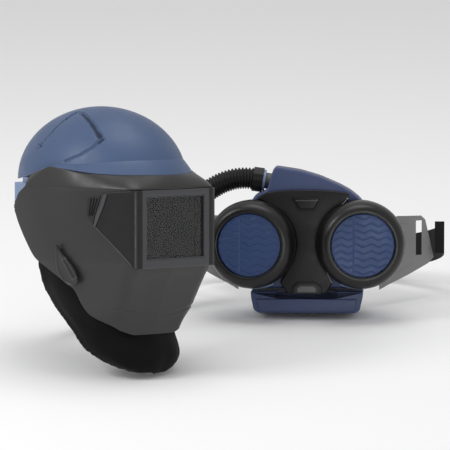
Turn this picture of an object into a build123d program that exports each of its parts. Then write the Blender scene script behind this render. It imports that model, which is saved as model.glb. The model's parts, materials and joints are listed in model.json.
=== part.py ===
from build123d import *
import math
import os

os.makedirs("parts", exist_ok=True)

# ---------------------------------------------------------------- driving dimensions (mm, degrees)
# Headtop, in its own frame: origin in the middle of the headband, face towards -Y, +Z up
HEAD_YAW = 41.0           # how far the face is turned towards +X
HEAD_LEAN = 8.5           # crown leaning away from the face side
DOME_A, DOME_B, DOME_C = 100.0, 129.0, 98.0   # helmet half width, half length, height of the ellipsoid
DOME_Y, DOME_Z = 4.0, -20.0                   # centre of the ellipsoid
SHELL_T = 3.0             # helmet wall
BRIM_A, BRIM_B = 103.0, 134.0                 # brim half width, reach to the front
BRIM_LOW, BRIM_HIGH = -6.0, 9.0               # lower edge and upper crease of the brim
BAND_A, BAND_B = 78.0, 98.0                   # headband half width, half length
BAND_LOW, BAND_H = -42.0, 30.0                # headband lower edge and height
KNOB_Y, KNOB_Z, KNOB_R = 157.0, -61.0, 22.0   # size knob: centre and radius
SHIELD_T = 3.0            # welding shield wall
SHIELD_FRONT = 144.0      # shield front face, forward of the origin
PIVOT_Y, PIVOT_Z = -25.0, -4.0                # shield hinge line, along X
PIVOT_R = 4.0             # hinge pin radius
PIN_END = 105.9           # outer end of each pin, inside the shield's wall
WINDOW_Z = -76.5          # centre height of the window
PANE_W, PANE_H = 110.0, 90.0                  # welding window plates
SIGHT_W, SIGHT_H = 103.0, 83.0                # clear opening in the bezel
BEZEL_W, BEZEL_H = 138.0, 106.0               # front frame of the bezel
BEZEL_FRONT = 149.0       # bezel front face, forward of the origin

# Fan unit, in its own frame: origin under the battery, filters towards -Y, +Z up
FAN_X, FAN_Y, FAN_Z = 276.0, 246.0, -257.0    # place of the fan unit
FAN_LEAN = 8.0            # leaning back on its belt
FAN_YAW = -3.0
HOUSING_FRONT, HOUSING_SPLIT, HOUSING_REAR = -22.0, 0.0, 30.0
WALL = 2.5                # housing wall
FILTER_X, FILTER_Y, FILTER_Z = 73.0, -22.3, 97.0   # centre of each filter socket
FILTER_CANT = 7.0         # filters turned away from each other
FILTER_R = 52.0           # cartridge radius
COVER_R = 61.5            # filter cover radius
DISC_R = 44.0             # pre-filter radius
BATTERY_W, BATTERY_H = 152.0, 31.0
BELT_R = 220.0            # curve of the belt plates
WEB_W, WEB_T = 46.0, 2.0  # belt webbing
LOOP_A, LOOP_B, LOOP_Y = 190.0, 130.0, 100.0  # half oval of the webbing behind the fan unit

OUTLET_R = 11.2           # outlet tube radius
CUFF_END = 27.0           # hose end, from the outlet's origin
OUTLET = Location((-50, 14, 180.5)) * Location((0, 0, 0), (0, -82, 0))   # local +Z out of the outlet

# Breathing hose
HOSE_D = 30.0             # outside diameter
INLET = Location((26, 129, -53.5))            # top of the helmet cuff, in the headtop's frame
HOSE_ROUTE = [(-60, 104, -176), (-46, 132, -218), (-18, 174, -243), (18, 219, -245), (46, 250, -228),
              (70, 278, -204), (88, 292, -160), (116, 296, -110)]
HOSE_END_RUN = 40.0       # from the helmet cuff to the route's next point
HOSE_FAN_RUN = 30.0       # from the fan cuff to the route's last free point

HEAD = Location((0, 0, 0), (-HEAD_LEAN, 0, 0)) * Location((0, 0, 0), (0, 0, HEAD_YAW))
FAN = (Location((FAN_X, FAN_Y, FAN_Z)) * Location((0, 0, 0), (-FAN_LEAN, 0, 0))
       * Location((0, 0, 0), (0, 0, FAN_YAW)))


def save(shape, node, place):
    """Put a sub-part in its place and write it."""
    solids = shape.solids() if not isinstance(shape, Solid) else [shape]
    moved = [place * one for one in solids]
    whole = moved[0] if len(moved) == 1 else Compound(children=moved)
    export_step(whole, f"parts/{node}.step")


def ellipsoid(a, b, c, y=DOME_Y, z=DOME_Z):
    """A solid ellipsoid about (0, y, z)."""
    return Pos(0, y, z) * scale(Sphere(1), by=(a, b, c))


def slab(x0, x1, y0, y1, z0, z1):
    """A box between two corners."""
    return Pos((x0 + x1) / 2, (y0 + y1) / 2, (z0 + z1) / 2) * Box(x1 - x0, y1 - y0, z1 - z0)


def oval_ring(a, b, t, z0, z1):
    """An upright elliptical band, t thick inwards."""
    ring = Ellipse(a, b) - Ellipse(a - t, b - t)
    return extrude(Pos(0, 0, z0) * ring, z1 - z0)


def side_prism(points, half=200.0):
    """An outline in (y, z), extruded across the whole width."""
    face = make_face(Polyline(*[(0, y, z) for y, z in points], close=True))
    return extrude(face, half, dir=(1, 0, 0)) + extrude(face, half, dir=(-1, 0, 0))


def both_sides(right):
    """A piece on the wearer's right and its mirror image on the left."""
    return right, mirror(right, about=Plane.YZ)


def rod(r, x0, x1, y, z):
    """A round bar along X."""
    return Pos((x0 + x1) / 2, y, z) * Rot(0, 90, 0) * Cylinder(r, abs(x1 - x0))


# ---------------------------------------------------------------- helmet
def helmet_shell():
    """Dome with a sloping brim round the front and two inner pivot bosses."""
    dome = ellipsoid(DOME_A, DOME_B, DOME_C)
    hollow = ellipsoid(DOME_A - SHELL_T, DOME_B - SHELL_T, DOME_C - SHELL_T)
    low = Pos(0, 0, BRIM_LOW) * Ellipse(BRIM_A, BRIM_B)
    high = Pos(0, 0, BRIM_HIGH) * Ellipse(BRIM_A - 7, BRIM_B - 17)
    brim = loft([low, high])
    low_in = Pos(0, 0, BRIM_LOW) * Ellipse(BRIM_A - SHELL_T, BRIM_B - SHELL_T)
    high_in = Pos(0, 0, BRIM_HIGH) * Ellipse(BRIM_A - 7 - SHELL_T, BRIM_B - 17 - SHELL_T)
    brim -= loft([low_in, high_in])
    brim &= slab(-120, 120, -160, 45, -20, 40)
    under = side_prism([(-170, BRIM_LOW), (0, BRIM_LOW), (23, -9), (45, -13), (65, -16), (90, -18.5), (170, -19),
                        (170, -160), (-170, -160)])
    boss_r, boss_l = both_sides(rod(8, -(BRIM_A - 1.5), -91, PIVOT_Y, PIVOT_Z + 6))
    bosses = boss_r + boss_l
    shell = (dome - hollow) - under + (brim - hollow) + (bosses & dome)
    pins = rod(PIVOT_R, -120, -80, PIVOT_Y, PIVOT_Z) + rod(PIVOT_R, 80, 120, PIVOT_Y, PIVOT_Z)
    return shell - pins


def crown_straps():
    """Two textile straps that cross over the head."""
    skin = ellipsoid(79.2, 99.2, 62, 0, -9.7) - ellipsoid(78, 98, 60.8, 0, -9.7)
    bars = Rot(0, 0, 38) * Box(20, 260, 200) + Rot(0, 0, -38) * Box(20, 260, 200)
    return (skin & bars) & slab(-120, 120, -120, 120, -9.7, 80)


def headband():
    """Band round the head, with two hanger tabs towards the helmet."""
    return oval_ring(BAND_A, BAND_B, 1.6, BAND_LOW, BAND_LOW + BAND_H)


def sweatband():
    """Soft pad inside the front half of the headband."""
    ring = oval_ring(BAND_A - 1.9, BAND_B - 1.9, 3.5, BAND_LOW + 2, BAND_LOW + BAND_H - 2)
    return ring & slab(-90, 90, -110, -20, -60, 0)


def air_duct():
    """Flat channel that carries the air from the back, over the crown, to the brow."""
    outer = ellipsoid(94, 123, 92) - ellipsoid(89, 117.5, 86)
    outer &= slab(-18, 18, -160, 160, 2, 120)
    inner = ellipsoid(92.6, 121.6, 90.6) - ellipsoid(90.4, 118.9, 87.4)
    return outer - (inner & slab(-16, 16, -160, 160, -10, 120))


def rear_manifold():
    """Air inlet block on the back of the helmet, hollow, with the hose socket on the left."""
    block = slab(-40, 46, 112, 146, -50, -27)
    block = fillet(block.edges().filter_by(Axis.Z), 8)
    collar = slab(-30, 36, 113, 136, -28, -19.3)
    block = block + collar
    block -= slab(-35, 40, 118, 142, -46, -31) + slab(-25, 31, 118, 132, -32, -15)
    return block - Pos(26, 129, -50) * Cylinder(12, 20)


def inlet_spigot():
    """Tube under the inlet block that the hose cuff is pushed on to."""
    tube = Cylinder(13, 22) - Cylinder(11, 22)
    flange = Cylinder(15.5, 2) - Cylinder(11, 2)
    return Pos(26, 129, -61) * tube + Pos(26, 129, -51) * flange


def ratchet_housing():
    """Nape housing of the size adjuster, on the back of the headband."""
    return slab(-30, 30, 98.6, 109, -71, -30) + slab(-5, 5, 108, KNOB_Y - 8.2, KNOB_Z - 4, KNOB_Z + 4)


def ratchet_knob():
    """Knob that tightens the headband, on a shaft bore."""
    disc = Pos(0, KNOB_Y, KNOB_Z) * Rot(90, 0, 0) * Cylinder(KNOB_R, 16)
    for i in range(18):
        notch = Pos(0, KNOB_Y, KNOB_Z) * Rot(0, i * 20, 0) * Pos(0, 0, KNOB_R + 0.6) * Rot(90, 0, 0) * Cylinder(1.4, 20)
        disc -= notch
    return disc


def shield_pivots():
    """The two pins that the welding shield turns on."""
    return rod(PIVOT_R, -PIN_END, -91, PIVOT_Y, PIVOT_Z) + rod(PIVOT_R, 91, PIN_END, PIVOT_Y, PIVOT_Z)


# ---------------------------------------------------------------- welding shield
# Half outline of the shield at each height: z, rear half width, cheek (x, y), front corner (x, y)
SHIELD_LEVELS = [
    (6, 110, (104, -52), (51, -136)),
    (-28, 113, (101, -66), (68, -SHIELD_FRONT)),
    (-122, 110, (96, -66), (70, -SHIELD_FRONT)),
    (-140, 105, (92, -62), (69, -132)),
    (-180, 92, (80, -62), (64, -112)),
    (-222, 74, (62, -66), (48, -102)),
]
SHIELD_EDGE = [(-30, 6), (-12, 6), (4, -6), (20, -17), (43, -36), (50, -54), (38, -82), (15, -118), (-28, -146),
               (-47, -162), (-60, -195), (-84, -216), (-90, -219), (-170, -219), (-170, -9), (-100, -5), (-60, 1)]


def shield_level(level, inset):
    """One closed outline of the shield, inset evenly, with rounded front corners."""
    z, rear_w, cheek, front = level
    right = [(rear_w - inset, 70), (rear_w - inset, 10), (cheek[0] - inset, cheek[1]),
             (front[0] - inset * 0.8, front[1] + inset)]
    left = [(-x, y) for x, y in reversed(right)]
    outline = make_face(Polyline(*right, *left, close=True))
    corners = outline.vertices().sort_by(Axis.Y)[0:2]
    rounded = fillet(corners, 16 - inset)
    return Pos(0, 0, z) * rounded


def shield_body(inset):
    """The shield's full volume, or its hollow when inset."""
    return loft([shield_level(level, inset) for level in SHIELD_LEVELS], ruled=True)


def shield_region():
    """The part of the side view that the shield covers."""
    return side_prism(SHIELD_EDGE)


def bezel_wing():
    """Outline of the bezel on the wearer's right cheek, as a thick slab over the shell."""
    start, end = Vector(-68, -SHIELD_FRONT + 3, 0), Vector(-98, -66, 0)
    along = (end - start).normalized()
    plane = Plane(origin=start, x_dir=along, z_dir=along.cross(Vector(0, 0, 1)) * -1)
    if plane.z_dir.X > 0:
        plane = Plane(origin=start, x_dir=along, z_dir=along.cross(Vector(0, 0, 1)))
    up = 1 if plane.y_dir.Z > 0 else -1
    points = [(-2, up * -27), (62, up * -35), (74, up * -60), (70, up * -66), (-2, up * -128)]
    face = plane * make_face(Polyline(*points, close=True))
    return extrude(face, 3.5, both=True)


def window_frame():
    """Front frame of the window with a wing on each cheek; the shell is cut to fit it."""
    top, low = WINDOW_Z + BEZEL_H / 2, WINDOW_Z - BEZEL_H / 2
    front = slab(-BEZEL_W / 2, BEZEL_W / 2, -BEZEL_FRONT, -SHIELD_FRONT + 4, low, top)
    front = fillet(front.edges().filter_by(Axis.Y), 6)
    right, left = both_sides(bezel_wing())
    frame = front + right + left
    sight = slab(-SIGHT_W / 2, SIGHT_W / 2, -160, -130, WINDOW_Z - SIGHT_H / 2, WINDOW_Z + SIGHT_H / 2)
    seat = slab(-PANE_W / 2 - 0.3, PANE_W / 2 + 0.3, -146.6, -130,
                WINDOW_Z - PANE_H / 2 - 0.3, WINDOW_Z + PANE_H / 2 + 0.3)
    vent_r, vent_l = both_sides(vent_hole())
    return frame - sight - seat - vent_r - vent_l


def vent_insert():
    """Slotted plate at the rear end of the right bezel wing."""
    plate = slab(-1.2, 1.2, -7, 7, -13, 13)
    for i in range(6):
        plate -= slab(-3, 3, -5, 5, -10.5 + i * 4, -8.7 + i * 4)
    return Pos(-96.2, -79, -49) * Rot(0, 0, -21.4) * plate


def vent_hole():
    """Opening that the vent plate sits in."""
    return Pos(-96.2, -79, -49) * Rot(0, 0, -21.4) * Box(30, 14.4, 26.4)


def welding_shield(frame):
    """The shield shell with its window opening, vent openings and hinge bosses."""
    envelope = shield_body(0) & shield_region()
    shell = envelope - shield_body(SHIELD_T)
    boss_r, boss_l = both_sides(rod(9, -107.9, -103.6, PIVOT_Y, PIVOT_Z))
    shell += (boss_r + boss_l) & shield_body(0.2)
    hole_r, hole_l = both_sides(rod(PIVOT_R + 0.05, -PIN_END - 0.2, -95, PIVOT_Y, PIVOT_Z))
    holes = hole_r + hole_l
    opening = slab(-PANE_W / 2 - 1, PANE_W / 2 + 1, -160, -120,
                   WINDOW_Z - PANE_H / 2 - 1, WINDOW_Z + PANE_H / 2 + 1)
    vent_r, vent_l = both_sides(vent_hole())
    return shell - holes - opening - frame - vent_r - vent_l


def pane(thick, y_front, shrink=0.0):
    """A flat plate of the window stack."""
    return slab(-PANE_W / 2 + shrink, PANE_W / 2 - shrink, y_front, y_front + thick,
                WINDOW_Z - PANE_H / 2 + shrink, WINDOW_Z + PANE_H / 2 - shrink)


def welding_filter():
    """Dark welding filter in its thin frame."""
    frame = pane(5, -144.7)
    return frame - pane(8, -146, 6) + pane(2.4, -143.5, 6)


def filter_clip():
    """Spring frame that holds the plates in the bezel."""
    outer = slab(-58, 58, -138.0, -136.6, WINDOW_Z - 46.5, WINDOW_Z + 44.5)
    return outer - slab(-50, 50, -150, -130, WINDOW_Z - 40, WINDOW_Z + 40)


CLIP_AT = (-100.6, -46, -128)   # middle of the right shield clip's inner face
CLIP_TURN = 10.8                # following the cheek
CLIP_TILT = -8.0                # following the cheek's slope below
# Outline of the clip in (y, z) about its middle: a drop with its point up
CLIP_DROP = [(12.5, 29), (14.5, 28), (16.5, -4), (4, -22), (-9.5, -27), (-19, -21.5), (-15, -3), (6.4, 19.5)]
CLIP_SLOT = [(-0.5, 10), (2.5, 9), (-11, -15), (-15, -13.5)]


def shield_clip():
    """Teardrop lever on the right cheek that locks the shield to its inner frame."""
    drop = make_face(Polyline(*[(0, y, z) for y, z in CLIP_DROP], close=True))
    slot = make_face(Polyline(*[(0, y, z) for y, z in CLIP_SLOT], close=True))
    solid = extrude(drop, 4, dir=(-1, 0, 0)) - Pos(1, 0, 0) * extrude(slot, 8, dir=(-1, 0, 0))
    return Rot(0, 0, CLIP_TURN) * Rot(0, CLIP_TILT, 0) * solid


def clip_pair():
    """Both clips, just clear of the shield's outer surface."""
    return both_sides(Pos(*CLIP_AT) * shield_clip())


SEAL_EDGE = [(18, -112), (25, -121), (23, -137), (19, -162), (12, -178), (2, -193), (-14, -211), (-31, -232),
             (-46, -243), (-64, -253), (-90, -272), (-130, -272), (-130, -150), (-60, -112)]


def face_seal():
    """Fabric seal: a bowl under the shield's lower edge, open at the back for the neck."""
    levels = [(-108, 103, 104, -20), (-150, 91, 93, -10), (-193, 78, 78, -25), (-219, 70, 58, -40),
              (-240, 66, 57, -56), (-254, 57, 46, -72), (-271, 28, 22, -92)]
    outer = loft([Pos(0, y, z) * Ellipse(a, b) for z, a, b, y in levels], ruled=True)
    inner = loft([Pos(0, y, z + (6 if z < -250 else 0)) * Ellipse(a - 5, b - 5) for z, a, b, y in levels],
                 ruled=True)
    bowl = (outer - inner) & side_prism(SEAL_EDGE)
    return bowl - (shield_body(0) & shield_region())


# ---------------------------------------------------------------- fan unit
HOUSING = [(-56, 170), (-46, 203), (-10, 197), (17, 189), (43, 178), (59, 170), (74, 158), (96, 120), (96, 62),
           (78, 34), (-78, 34), (-96, 62), (-96, 120), (-73, 163)]


def outline(points, y0, y1):
    """A front-view outline in (x, z) with thickness from y0 back to y1."""
    face = make_face(Polyline(*[(x, y1, z) for x, z in points], close=True))
    return extrude(face, y1 - y0, dir=(0, -1, 0))


def filter_place(side, depth=0.0):
    """Frame of a filter: local +Z points out of the socket; side is -1 or +1."""
    turned = Location((side * FILTER_X, FILTER_Y, FILTER_Z)) * Location((0, 0, 0), (0, 0, side * FILTER_CANT))
    return turned * Location((0, 0, 0), (90, 0, 0)) * Location((0, 0, depth))


def disc(side, r, z0, z1):
    """A cylinder on a filter's axis from z0 to z1."""
    return filter_place(side) * Pos(0, 0, (z0 + z1) / 2) * Cylinder(r, z1 - z0)


def turned(side, points):
    """A ring turned from a profile of (radius, height) about a filter's axis."""
    face = make_face(Polyline(*[(r, 0, z) for r, z in points], close=True))
    return filter_place(side) * revolve(face, Axis.Z)


def housing_front():
    """Front shell of the fan housing, with an air hole behind each filter."""
    inner = offset(make_face(Polyline(*HOUSING, close=True)), -WALL)
    cavity = extrude(Rot(90, 0, 0) * inner, 19.5)
    shell = outline(HOUSING, HOUSING_FRONT, -0.2) - Pos(0, -0.2, 0) * cavity
    shell += screw_bosses(HOUSING_FRONT + 1, -0.2)
    for side in (-1, 1):
        shell -= disc(side, 26, -20, 20)
    return shell - outline([(-15, 30), (15, 30), (15, 40), (-15, 40)], -16, 10) - screw_holes()


def housing_rear():
    """Rear shell of the fan housing, with the outlet hole at the top left."""
    inner = offset(make_face(Polyline(*HOUSING, close=True)), -WALL)
    cavity = extrude(Rot(90, 0, 0) * inner, -27.5)
    shell = outline(HOUSING, 0, HOUSING_REAR) - cavity
    shell += screw_bosses(0, HOUSING_REAR - 1)
    shell -= OUTLET * Pos(0, 0, 5) * Cylinder(OUTLET_R + 0.1, 30)
    shell -= OUTLET * Pos(0, 0, 19) * Cylinder(17.4, 20)
    shell -= outline([(-15, 30), (15, 30), (15, 40), (-15, 40)], -10, 11)
    return shell - screw_holes()


SCREW_AT = [(-38, 188), (28, 176), (86, 114), (86, 68), (-86, 114), (-86, 68)]


def screw_holes():
    """Bores for the housing screws, from the back."""
    return Compound(children=[Pos(x, 12, z) * Rot(90, 0, 0) * Cylinder(1.55, 44) for x, z in SCREW_AT])


def screw_bosses(y0, y1):
    """Posts round the screws inside a shell."""
    return Compound(children=[slab(x - 4, x + 4, y0, y1, z - 4, z + 4) for x, z in SCREW_AT])


def housing_screws():
    """Six screws that hold the two shells together."""
    screws = []
    for x, z in SCREW_AT:
        shank = Pos(x, 12, z) * Rot(90, 0, 0) * Cylinder(1.5, 40)
        head = Pos(x, 31, z) * Rot(90, 0, 0) * Cylinder(3, 2)
        screws.append(shank + head)
    return Compound(children=screws)


def filter_socket(side):
    """Flanged ring on the housing that the filter turns on to."""
    ring = turned(side, [(27, -8), (42, -8), (42, 3), (35.8, 3), (35.8, 12), (30, 12), (30, 3), (27, 3)])
    return ring & slab(-150, 150, -80, HOUSING_FRONT, 20, 170)


def filter_gasket(side):
    """Rubber ring between the socket and the cartridge."""
    return turned(side, [(30.2, 12.2), (35.6, 12.2), (35.6, 14), (30.2, 14)])


def filter_cartridge(side):
    """Filter with its threaded neck."""
    return turned(side, [(0, 14.2), (36.3, 14.2), (36.3, 4), (41, 4), (41, 14.2), (FILTER_R, 14.2),
                         (FILTER_R, 42), (0, 42)])


def filter_cover(side):
    """Black ring that snaps over the cartridge and holds the pre-filter."""
    return turned(side, [(FILTER_R + 0.3, 13), (58.5, 13), (COVER_R, 19), (COVER_R, 33), (59, 41), (54, 47),
                         (49, 49.5), (DISC_R + 0.6, 47.5), (DISC_R + 0.6, 44), (FILTER_R + 0.3, 43)])


def prefilter(side):
    """Blue pre-filter disc."""
    return disc(side, DISC_R, 42.2, 46)


PANEL = [(-57, 168), (-22, 171.5), (17, 171.5), (58, 168), (59, 161), (40, 140), (20, 112), (14, 97),
         (20, 76), (36, 43), (25, 23), (-26, 25), (-37, 43), (-20, 76), (-14, 97), (-20, 112), (-40, 140),
         (-71, 160)]
BUTTON = [(-20, 161), (20, 161), (10, 145), (-10, 145)]
SLOT = [(-17, 29), (-17, 36), (-10, 41), (10, 41), (17, 36), (17, 29)]


def centre_panel():
    """Black control panel between the filters."""
    panel = outline(PANEL, -33, HOUSING_FRONT - 0.1)
    for side in (-1, 1):
        panel -= disc(side, 43, -8, 12.5)
        panel -= disc(side, COVER_R + 1, 12.5, 40)
    button = offset(make_face(Polyline(*BUTTON, close=True)), 0.5, kind=Kind.INTERSECTION)
    panel -= Pos(0, -26, 0) * extrude(Rot(90, 0, 0) * button, 20)
    return panel - outline(SLOT, -40, -27)


def control_button():
    """Power and flow button."""
    return outline(BUTTON, -35, -28)


def indicator_insert():
    """Dark window over the indicator lamps."""
    inside = offset(make_face(Polyline(*SLOT, close=True)), -0.3, kind=Kind.INTERSECTION)
    return Pos(0, -27.2, 0) * extrude(Rot(90, 0, 0) * inside, 3)


def impeller():
    """Radial fan wheel with twelve blades, on the motor shaft."""
    hub = Cylinder(9, 14)
    wheel = hub + Pos(0, 0, -6.25) * Cylinder(27, 1.5)
    for i in range(12):
        wheel += Rot(0, 0, i * 30) * Pos(17.5, 0, 0) * Rot(0, 0, 25) * Box(16, 1.2, 13)
    wheel -= Cylinder(1.55, 30)
    return Pos(0, -6, 97) * Rot(90, 0, 0) * wheel


def fan_motor():
    """Brushless motor behind the wheel, with its shaft."""
    can = Pos(0, 11.5, 97) * Rot(90, 0, 0) * Cylinder(17, 16)
    shaft = Pos(0, -3, 97) * Rot(90, 0, 0) * Cylinder(1.5, 18)
    return can + shaft


def volute():
    """Scroll round the wheel."""
    ring = Cylinder(34, 16) - Cylinder(30, 18)
    mouth = Pos(-32, 30, 0) * Box(8, 20, 16)
    return Pos(0, -6, 97) * Rot(90, 0, 0) * (ring - mouth)


def circuit_board():
    """Control electronics above the wheel."""
    return slab(-30, 30, 8, 9.6, 138, 162) + slab(-12, 12, 9.5, 14, 144, 156)


def battery_pack():
    """Battery with a raised front and the contact tongue on top."""
    body = slab(-BATTERY_W / 2, BATTERY_W / 2, -34, 26, 0, BATTERY_H)
    body = fillet(body.edges().filter_by(Axis.Y), 6)
    body -= slab(-42, 42, -40, HOUSING_FRONT + 0.4, 21.5, 50)
    raised = outline([(-66, 3), (66, 3), (70, 20), (-70, 20)], -37, -33)
    tongue = slab(-14, 14, -12, 8, BATTERY_H - 1, 44)
    return body + raised + tongue


def battery_latch():
    """Sprung slider at the back that holds the battery."""
    return slab(-12, 12, 30.4, 33.4, 33.5, 50) + slab(-12, 12, 26.4, 33.4, 22, 33.6)


def tube_piece(r_out, r_in, z0, z1):
    """A plain tube along local Z."""
    return Pos(0, 0, (z0 + z1) / 2) * (Cylinder(r_out, z1 - z0) - Cylinder(r_in, z1 - z0))


def outlet_spigot():
    """Air outlet tube at the top left corner."""
    return OUTLET * (tube_piece(OUTLET_R, 9.2, -6, CUFF_END - 2.2) + tube_piece(12.6, 9.2, -6, -3))


def outlet_ring():
    """Sealing ring between the housing and the hose cuff."""
    return OUTLET * tube_piece(14.8, OUTLET_R + 0.1, 9.5, 12.5)


def fan_cuff():
    """Faceted rubber cuff on the fan end of the hose."""
    grip = extrude(RegularPolygon(17, 12), CUFF_END - 12.7)
    return OUTLET * (Pos(0, 0, 12.7) * grip - Pos(0, 0, 11.5) * Cylinder(OUTLET_R + 0.1, 2 * (CUFF_END - 13.5)))


def helmet_cuff():
    """Rubber cuff on the helmet end of the hose."""
    body = Pos(0, 0, -11) * Cylinder(17.5, 22)
    return INLET * (body - Pos(0, 0, -9.5) * Cylinder(13.1, 21))


# ---------------------------------------------------------------- breathing hose
def hose_points():
    """The hose's route in the shared frame, from the helmet cuff to the fan cuff."""
    start = (HEAD * INLET * Pos(0, 0, -22)).position
    finish_at = FAN * OUTLET * Pos(0, 0, CUFF_END)
    before_end = (FAN * OUTLET * Pos(0, 0, CUFF_END + HOSE_FAN_RUN)).position
    first = (HEAD * INLET * Pos(0, 0, -22 - HOSE_END_RUN)).position
    return [start, first] + [Vector(*p) for p in HOSE_ROUTE] + [before_end, finish_at.position]


def breathing_hose():
    """Plain tube along straight runs joined by tangent arcs."""
    points = hose_points()
    radii = []
    for a, b, c in zip(points, points[1:], points[2:]):
        turn = (b - a).get_angle(c - b)
        shorter = min((b - a).length, (c - b).length)
        radii.append(0.45 * shorter / math.tan(math.radians(turn / 2)))
        print(f"hose run {(b - a).length:.0f} turn {turn:.0f} radius {radii[-1]:.0f}")
    path = FilletPolyline(*points, radius=radii)
    section = Plane(origin=points[0], z_dir=(points[1] - points[0]).normalized()) * Circle(HOSE_D / 2)
    tube = sweep(section, path=path)
    ideal = math.pi * (HOSE_D / 2) ** 2 * path.length
    print(f"hose length {path.length:.0f} volume / ideal {tube.volume / ideal:.4f}")
    return tube


# ---------------------------------------------------------------- belt
PLATE = [(99, 26), (112, 33), (140, 46), (167, 60), (175, 68), (163, 122), (157, 128), (124, 129), (99, 118)]
WEB_LOW = 74.0            # lower edge of the webbing
DROOP = (Location((0, LOOP_Y, WEB_LOW)) * Location((0, 0, 0), (-16, 0, 0))
         * Location((0, -LOOP_Y, -WEB_LOW)))   # the back of the belt loop sinks to the floor


def belt_sheet(r, t):
    """Upright curved sheet that follows the waist behind the fan unit."""
    return Pos(0, HOUSING_REAR + 2 + BELT_R, 75) * (Cylinder(r + t, 140) - Cylinder(r, 142))


def belt_plate(side):
    """Semi-rigid hip plate with a slot for the webbing."""
    points = [(side * x, z) for x, z in PLATE]
    plate = belt_sheet(BELT_R, 4) & outline(points, 20, 160)
    slot = [(side * x, z) for x, z in [(150, WEB_LOW - 1.5), (158, WEB_LOW - 1.5), (158, WEB_LOW + 47.5),
                                       (150, WEB_LOW + 47.5)]]
    return plate - outline(slot, 40, 200)


def back_pad():
    """Soft pad between the housing and the wearer's back."""
    pad = belt_sheet(BELT_R - 10.5, 10) & slab(-94, 94, HOUSING_REAR + 3.6, 90, 32, 120)
    return pad - slab(-14, 14, 20, 90, 20, 52)


def webbing(side):
    """Belt webbing: the short end at the hip plate, and the run round to the buckle."""
    ring = Pos(0, LOOP_Y, WEB_LOW) * extrude(Ellipse(LOOP_A, LOOP_B) - Ellipse(LOOP_A - WEB_T, LOOP_B - WEB_T),
                                            WEB_W)
    back = ring & slab(min(side * 34, side * 200), max(side * 34, side * 200), LOOP_Y, 260, 0, 150)
    near, far = side * 176.5, side * (LOOP_A - 0.2)
    lead = slab(min(near, far), max(near, far), LOOP_Y - 2.2, LOOP_Y - 0.2, WEB_LOW, WEB_LOW + WEB_W)
    return Compound(children=[back, lead])


def adjuster(side):
    """Slider on the webbing."""
    turn = math.radians(58)
    x, y = side * LOOP_A * math.cos(turn), LOOP_Y + LOOP_B * math.sin(turn)
    block = Pos(x, y, WEB_LOW + WEB_W / 2) * Rot(0, 0, -side * 23.5) * Box(26, 9, WEB_W + 8)
    path = Pos(0, LOOP_Y, WEB_LOW - 0.5) * extrude(Ellipse(LOOP_A + 0.6, LOOP_B + 0.6)
                                                  - Ellipse(LOOP_A - WEB_T - 0.6, LOOP_B - WEB_T - 0.6), WEB_W + 1)
    return block - path


def buckle_socket():
    """Female half of the side-release buckle, at the back of the loop."""
    y0 = LOOP_Y + LOOP_B
    body = slab(-33.5, -1, y0 - 8, y0 + 6, WEB_LOW - 4, WEB_LOW + WEB_W + 4)
    pocket = slab(-27, 0, y0 - 5, y0 + 3, WEB_LOW - 5, WEB_LOW + WEB_W + 5)
    rail = slab(-27, -1, y0 - 5.1, y0 + 3.1, WEB_LOW + 18, WEB_LOW + 28)
    return body - pocket + rail


def buckle_plug():
    """Male half of the buckle."""
    y0 = LOOP_Y + LOOP_B
    body = slab(0.5, 33.5, y0 - 8, y0 + 6, WEB_LOW - 4, WEB_LOW + WEB_W + 4)
    arms = slab(-12, 1, y0 - 4, y0 + 2, WEB_LOW + 29, WEB_LOW + 36) + slab(-12, 1, y0 - 4, y0 + 2,
                                                                          WEB_LOW + 10, WEB_LOW + 17)
    return body + arms


def buckle_tab(upper):
    """Release tab on one side of the buckle."""
    y0 = LOOP_Y + LOOP_B
    z0 = WEB_LOW + WEB_W - 4 if upper else WEB_LOW - 5
    return slab(-25, -13, y0 - 4.4, y0 + 2.4, z0, z0 + 9)


def belt_screws():
    """Four screws that hold the hip plates to the housing."""
    screws = []
    for side in (-1, 1):
        for z in (58, 100):
            screws.append(Pos(side * 88, 33, z) * Rot(90, 0, 0) * Cylinder(3, 3))
    return Compound(children=screws)


# ---------------------------------------------------------------- write every sub-part
frame = window_frame()
vent_right, vent_left = both_sides(vent_insert())
clip_right, clip_left = clip_pair()

save(helmet_shell(), "helmet_shell", HEAD)
save(crown_straps(), "crown_straps", HEAD)
save(headband(), "headband", HEAD)
save(sweatband(), "sweatband", HEAD)
save(air_duct(), "air_duct", HEAD)
save(rear_manifold(), "rear_manifold", HEAD)
save(inlet_spigot(), "inlet_spigot", HEAD)
save(ratchet_housing(), "ratchet_housing", HEAD)
save(ratchet_knob(), "ratchet_knob", HEAD)
save(shield_pivots(), "shield_pivots", HEAD)
save(welding_shield(frame), "welding_shield", HEAD)
save(frame, "window_frame", HEAD)
save(vent_right, "vent_right", HEAD)
save(vent_left, "vent_left", HEAD)
save(pane(1.5, -146.5), "cover_plate", HEAD)
save(welding_filter(), "welding_filter", HEAD)
save(pane(1.2, -139.4), "inner_plate", HEAD)
save(filter_clip(), "filter_clip", HEAD)
save(clip_right, "shield_clip_right", HEAD)
save(clip_left, "shield_clip_left", HEAD)
save(face_seal(), "face_seal", HEAD)

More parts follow.
